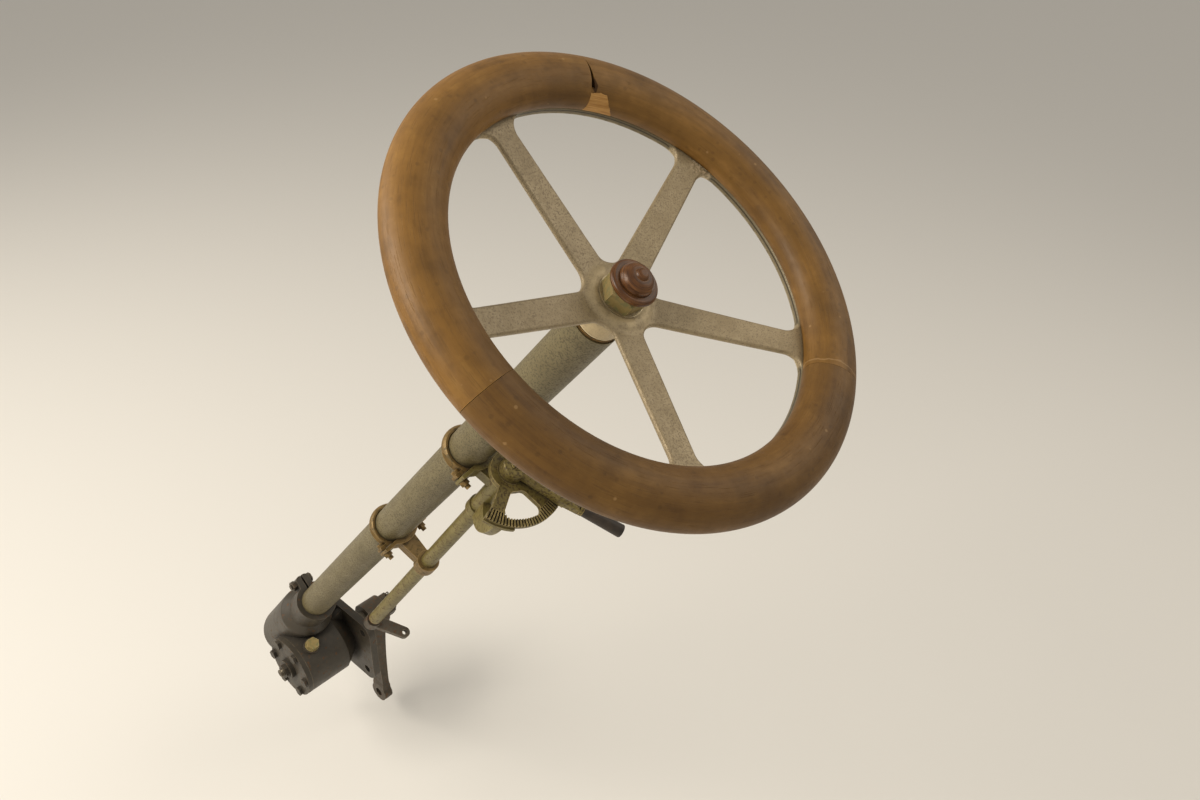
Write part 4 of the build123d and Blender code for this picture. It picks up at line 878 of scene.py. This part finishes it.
# %% [markdown]
# A slotted screw head is a dome: over a circle of radius R its height falls from the middle as
# a part of an ellipse. The slot takes a band out of it across the middle, with walls that are
# steep but not upright, as in a real slot that has seen a screwdriver.

# %% Screw heads
DOME_FLATNESS = 0.9
SLOT_WALL = 0.25  # width of the slot's wall, against the slot
SKIRT = 0.3  # the last ring drops below the seat by this much of the height


def screw_head(name, origin, outward, sideways, size, finish, body):
    """Height is h sqrt(1 - 0.9 (r / R)^2), less the slot's depth where |y| is under half its width.

    size gives the head's radius and height, and the slot's width and depth."""
    radius, height, slot_width, slot_depth = size
    share = np.concatenate([[0.03], np.linspace(0.08, 1.0, 22), [1.0]])[:, None]
    turned = round_about(72)
    x, y = radius * share * np.cos(turned), radius * share * np.sin(turned)
    z = height * np.sqrt(1 - DOME_FLATNESS * share**2) * np.ones_like(turned)
    wall = np.clip((np.abs(y) - slot_width / 2) / (SLOT_WALL * slot_width) + 0.5, 0, 1)
    z = z - slot_depth * (1 - wall * wall * (3 - 2 * wall))
    z[-1] = -SKIRT * height
    points = np.stack([x, y, z], -1)
    return surface(name, place(points, *frame_at(origin, outward, sideways)), finish, body)


print("helper: screw_head")

# %% [markdown]
# A thread is a tube whose radius rises and falls once in every pitch. Shifting that wave by the
# angle, one pitch for each turn, makes it a helix. A bump in the material would look the same
# from the front, but the outline would stay smooth.

# %% Threads
ROWS_A_PITCH = 10
THREAD_DEPTH = 0.33  # against the pitch


def thread(name, origin, outward, size, finish, body):
    """Radius is R plus a third of the pitch times a triangle wave of (z / pitch - angle / 2 pi).

    size gives the radius at the foot of the thread, its length and its pitch."""
    radius, length, pitch = size
    z = np.linspace(0, length, max(6, int(length / pitch * ROWS_A_PITCH)))[:, None]
    turned = round_about(40)
    wave = np.abs(((z / pitch - turned / (2 * pi)) % 1.0) * 2 - 1)
    end = np.clip((length - z) / (0.5 * pitch), 0, 1)
    r = radius + THREAD_DEPTH * pitch * wave * end
    points = np.stack([r * np.cos(turned), r * np.sin(turned), z * np.ones_like(turned)], -1)
    sideways = (0.3, 1.0, 0.2) if abs(outward[0]) > 0.9 else (1.0, 0.0, 0.0)
    return surface(name, place(points, *frame_at(origin, outward, sideways)), finish, body)


print("helper: thread")

# %% [markdown]
# The metal ring under the rim is held by countersunk wood screws from below, two between each
# pair of spokes. Their slots point every way, because nobody lines up screws that don't show.

# %% Screws of the ring
RING_SCREW_RADIUS = 173.6 * MM
RING_UNDERSIDE = -14.0 * MM
SPOKE_COUNT, SPOKE_ANGLE = 5, 27.8
RING_SCREW = (4.6 * MM, 1.5 * MM, 1.1 * MM, 1.0 * MM)
FIRST_SLOT, SLOT_TURN = 20, 37  # degrees, the first slot and the step to the next

for count in range(2 * SPOKE_COUNT):
    angle = radians(SPOKE_ANGLE + (count + 0.5) * 180 / SPOKE_COUNT)
    local = (RING_SCREW_RADIUS * cos(angle), RING_SCREW_RADIUS * sin(angle), RING_UNDERSIDE)
    slant = radians(SLOT_TURN * count + FIRST_SLOT)
    sideways = place((cos(slant), sin(slant), 0), np.zeros(3), WHEEL_AXES)
    seat = place(local, WHEEL, WHEEL_AXES)
    name = f"ring_screw_{count + 1}"
    screw_head(name, seat, -WHEEL_AXES[2], sideways, RING_SCREW, "nut_brass", "wheel")
print("ring screws:", 2 * SPOKE_COUNT)

# %% [markdown]
# Two bolts close each clip round the column. Their domed heads sit on the strap's ears, and
# their threads stand out of the nuts on the other side. The bolts themselves are in the model,
# so only the head's dome and the bare thread are made here.

# %% Heads and threads of the clips' bolts
CONTROL_SIDE = radians(-81)  # direction from the column to the control shaft
CLIP_DROPS = {"upper": 352.5 * MM, "lower": 595.0 * MM}
CLIP_HALF_WIDTH = 5.4 * MM
BOLT_OFFSET = 29.0 * MM
HEAD_TOP, NUT_END = 8.5 * MM, 26.9 * MM
BOLT_HEAD = (4.5 * MM, 1.3 * MM, 1.1 * MM, 1.2 * MM)
BOLT_THREAD = (2.84 * MM, 4.3 * MM, 0.9 * MM)
clip_x = cos(CONTROL_SIDE) * WHEEL_AXES[0] + sin(CONTROL_SIDE) * WHEEL_AXES[1]
clip_y = np.cross(WHEEL_AXES[2], clip_x)

for clip, drop in CLIP_DROPS.items():
    middle = WHEEL + (CLIP_HALF_WIDTH - drop) * WHEEL_AXES[2]
    for side, sign in (("left", -1), ("right", 1)):
        bolt = middle + sign * BOLT_OFFSET * clip_y
        slant = WHEEL_AXES[2] + sign * 0.6 * clip_y
        name = f"{clip}_{side}_bolt"
        head, end = bolt + HEAD_TOP * clip_x, bolt + NUT_END * clip_x
        screw_head(f"{name}_head", head, -clip_x, slant, BOLT_HEAD, "clip_bronze", "column")
        thread(f"{name}_thread", end, clip_x, BOLT_THREAD, "clip_bronze", "column")
print("clip bolts:", 2 * len(CLIP_DROPS))

# %% [markdown]
# A slotted screw closes the lever's boss over the end of the control shaft. It rides on the
# control body, so its slot turns with the lever.

# %% Screw on the lever's boss
BOSS_TOP = 6.0 * MM
LEVER_SCREW = (6.4 * MM, 2.4 * MM, 1.5 * MM, 1.6 * MM)
SLOT_DIRECTION = (1.0, 0.5, 0.0)
seat, up = LEVER + BOSS_TOP * LEVER_AXES[2], LEVER_AXES[2]
screw_head("lever_screw", seat, up, SLOT_DIRECTION, LEVER_SCREW, "lever_brass", "control")
print("lever's screw at", seat.round(4))

# %% [markdown]
# Threads show in two places on the steering box: on the sector shaft beyond its nut, and on the
# adjusting screw in the cover, which ends in a slot.

# %% Threads of the steering box
SHAFT_THREAD_START = 82.0 * MM
SHAFT_THREAD = (14.03 * MM, 4.05 * MM, 1.5 * MM)
ADJUSTER_START = -125.0 * MM
ADJUSTER_THREAD = (6.03 * MM, 5.05 * MM, 1.25 * MM)
ADJUSTER_SLOT = (5.6 * MM, 1.0 * MM, 1.4 * MM, 1.4 * MM)
START, INWARD = (ADJUSTER_START, 0, 0), (-1, 0, 0)
SLOT_PLACE = (ADJUSTER_START - 5.0 * MM, 0, 0)

thread("sector_shaft_thread", (SHAFT_THREAD_START, 0, 0), (1, 0, 0), SHAFT_THREAD,
       "shaft_steel", "drop_arm")
thread("adjuster_thread", START, INWARD, ADJUSTER_THREAD, "arm_steel", "column")
screw_head("adjuster_end", SLOT_PLACE, INWARD, (0, 1, 0.4), ADJUSTER_SLOT, "arm_steel", "column")
print("threads start at", SHAFT_THREAD_START, "and", ADJUSTER_START, "m")

# %% [markdown]
# A split pin goes through the slots of the drop arm's nut and stops it from turning. It is one
# piece of wire: down one leg, round the eye, and back along the other leg. Both legs are bent
# away below, one over the shaft's end and one along the nut. A curve with a bevel would make the
# same wire, but a circle carried along the path's points stays a plain array.

# %% Split pin
PIN_LEVEL = 79.0 * MM
WIRE_RADIUS = 1.0 * MM
EYE_RADIUS, EYE_HEIGHT = 2.7 * MM, 23.0 * MM
EYE_GAP = 0.42  # half the angle that the eye leaves open below
LEG_TOP, LEG_FOOT = EYE_HEIGHT - 3 * MM, -19.0 * MM
BEND = 3.0 * MM


def wire(name, path, normal, radius, finish, body):
    """A round wire along a flat path: each point's circle lies across the path's direction."""
    ahead = np.gradient(path, axis=0)
    ahead /= np.linalg.norm(ahead, axis=1)[:, None]
    side = np.cross(ahead, normal)
    turned = round_about(16)[..., None]
    across = np.cos(turned) * side[:, None] + np.sin(turned) * np.array(normal, float)
    return surface(name, path[:, None] + radius * across, finish, body)


def pin_leg(side, reach):
    """From the eye down to the foot, then a quarter circle and a short straight run outwards."""
    down = [np.full(12, side * WIRE_RADIUS), np.linspace(LEG_TOP, LEG_FOOT, 12)]
    angle = np.linspace(0, pi / 2, 9)[1:]
    out = side * (WIRE_RADIUS + BEND * (1 - np.cos(angle)))
    curve = [out, LEG_FOOT - BEND * np.sin(angle)]
    run = side * (WIRE_RADIUS + BEND + np.linspace(0, reach, 4)[1:])
    straight = [run, np.full(3, LEG_FOOT - BEND)]
    return np.concatenate([np.stack(stretch, -1) for stretch in (down, curve, straight)])


eye_angle = np.linspace(EYE_GAP - pi / 2, 1.5 * pi - EYE_GAP, 25)
eye = [EYE_RADIUS * np.cos(eye_angle), EYE_HEIGHT + EYE_RADIUS * np.sin(eye_angle)]
outline = np.concatenate([pin_leg(1, 1.5 * MM)[::-1], np.stack(eye, -1), pin_leg(-1, 3.5 * MM)])
path = np.stack([PIN_LEVEL + outline[:, 0], np.zeros(len(outline)), outline[:, 1]], -1)
wire("split_pin", path, (0, 1, 0), WIRE_RADIUS, "arm_steel", "drop_arm")

# %% [markdown]
# The part hangs from its flange, as on a car, so the floor lies a little below its lowest point
# and only catches the shadow. It is plain, pale and large enough to reach the horizon.

# %% Floor
FLOOR_DROP = 0.03
FLOOR_REACH = 60.0
FLOOR_COLOR = (0.76, 0.74, 0.7, 1)

material, tree, shader = bare_material("floor")
shader.inputs["Base Color"].default_value = FLOOR_COLOR
shader.inputs["Roughness"].default_value = 0.7
floor_mesh = bpy.data.meshes.new("floor")
floor_z = cad_box[0][2] - FLOOR_DROP
corners = [(-1, -1), (1, -1), (1, 1), (-1, 1)]
floor_points = [(x * FLOOR_REACH, y * FLOOR_REACH, floor_z) for x, y in corners]
floor_mesh.from_pydata(floor_points, [], [(0, 1, 2, 3)])
floor = bpy.data.objects.new("floor", floor_mesh)
scene.collection.objects.link(floor)
floor_mesh.materials.append(material)
print("floor at", round(floor_z, 3), "m")

# %% [markdown]
# The light is that of a hall with tall windows: broad, soft and from the upper left, with a
# weaker fill from the right and another window behind. A sun lamp would give hard shadows, so
# area lamps are used, and a pale world lights what they don't reach.

# %% Lamps and world
AIM = tuple(WHEEL - 0.3 * WHEEL_AXES[2])
WARM = (1.0, 0.93, 0.82)
LAMPS = {
    # lamp: place, width and height, watts
    "window": ((-2.2, 0.6, 2.6), (2.0, 1.6), 95),
    "fill": ((1.8, -1.6, 2.2), (2.0, 2.0), 14),
    "far window": ((-1.6, 2.4, 2.0), (1.6, 1.4), 30),
}
WORLD_COLOR, WORLD_STRENGTH = (0.92, 0.87, 0.79, 1), 0.5

for name, (lamp_place, size, watts) in LAMPS.items():
    lamp = bpy.data.lights.new(name, "AREA")
    lamp.shape = "RECTANGLE"
    lamp.size, lamp.size_y = size
    lamp.energy = watts
    lamp.color = WARM
    piece = bpy.data.objects.new(name, lamp)
    scene.collection.objects.link(piece)
    look = (Vector(AIM) - Vector(lamp_place)).to_track_quat("-Z", "Y").to_matrix().to_4x4()
    piece.matrix_world = Matrix.Translation(lamp_place) @ look

world = bpy.data.worlds.new("world")
scene.world = world
world.use_nodes = True
world.node_tree.nodes["Background"].inputs["Color"].default_value = WORLD_COLOR
world.node_tree.nodes["Background"].inputs["Strength"].default_value = WORLD_STRENGTH
scene.view_settings.view_transform = "Standard"
print("lamps:", {name: watts for name, (_, _, watts) in LAMPS.items()})
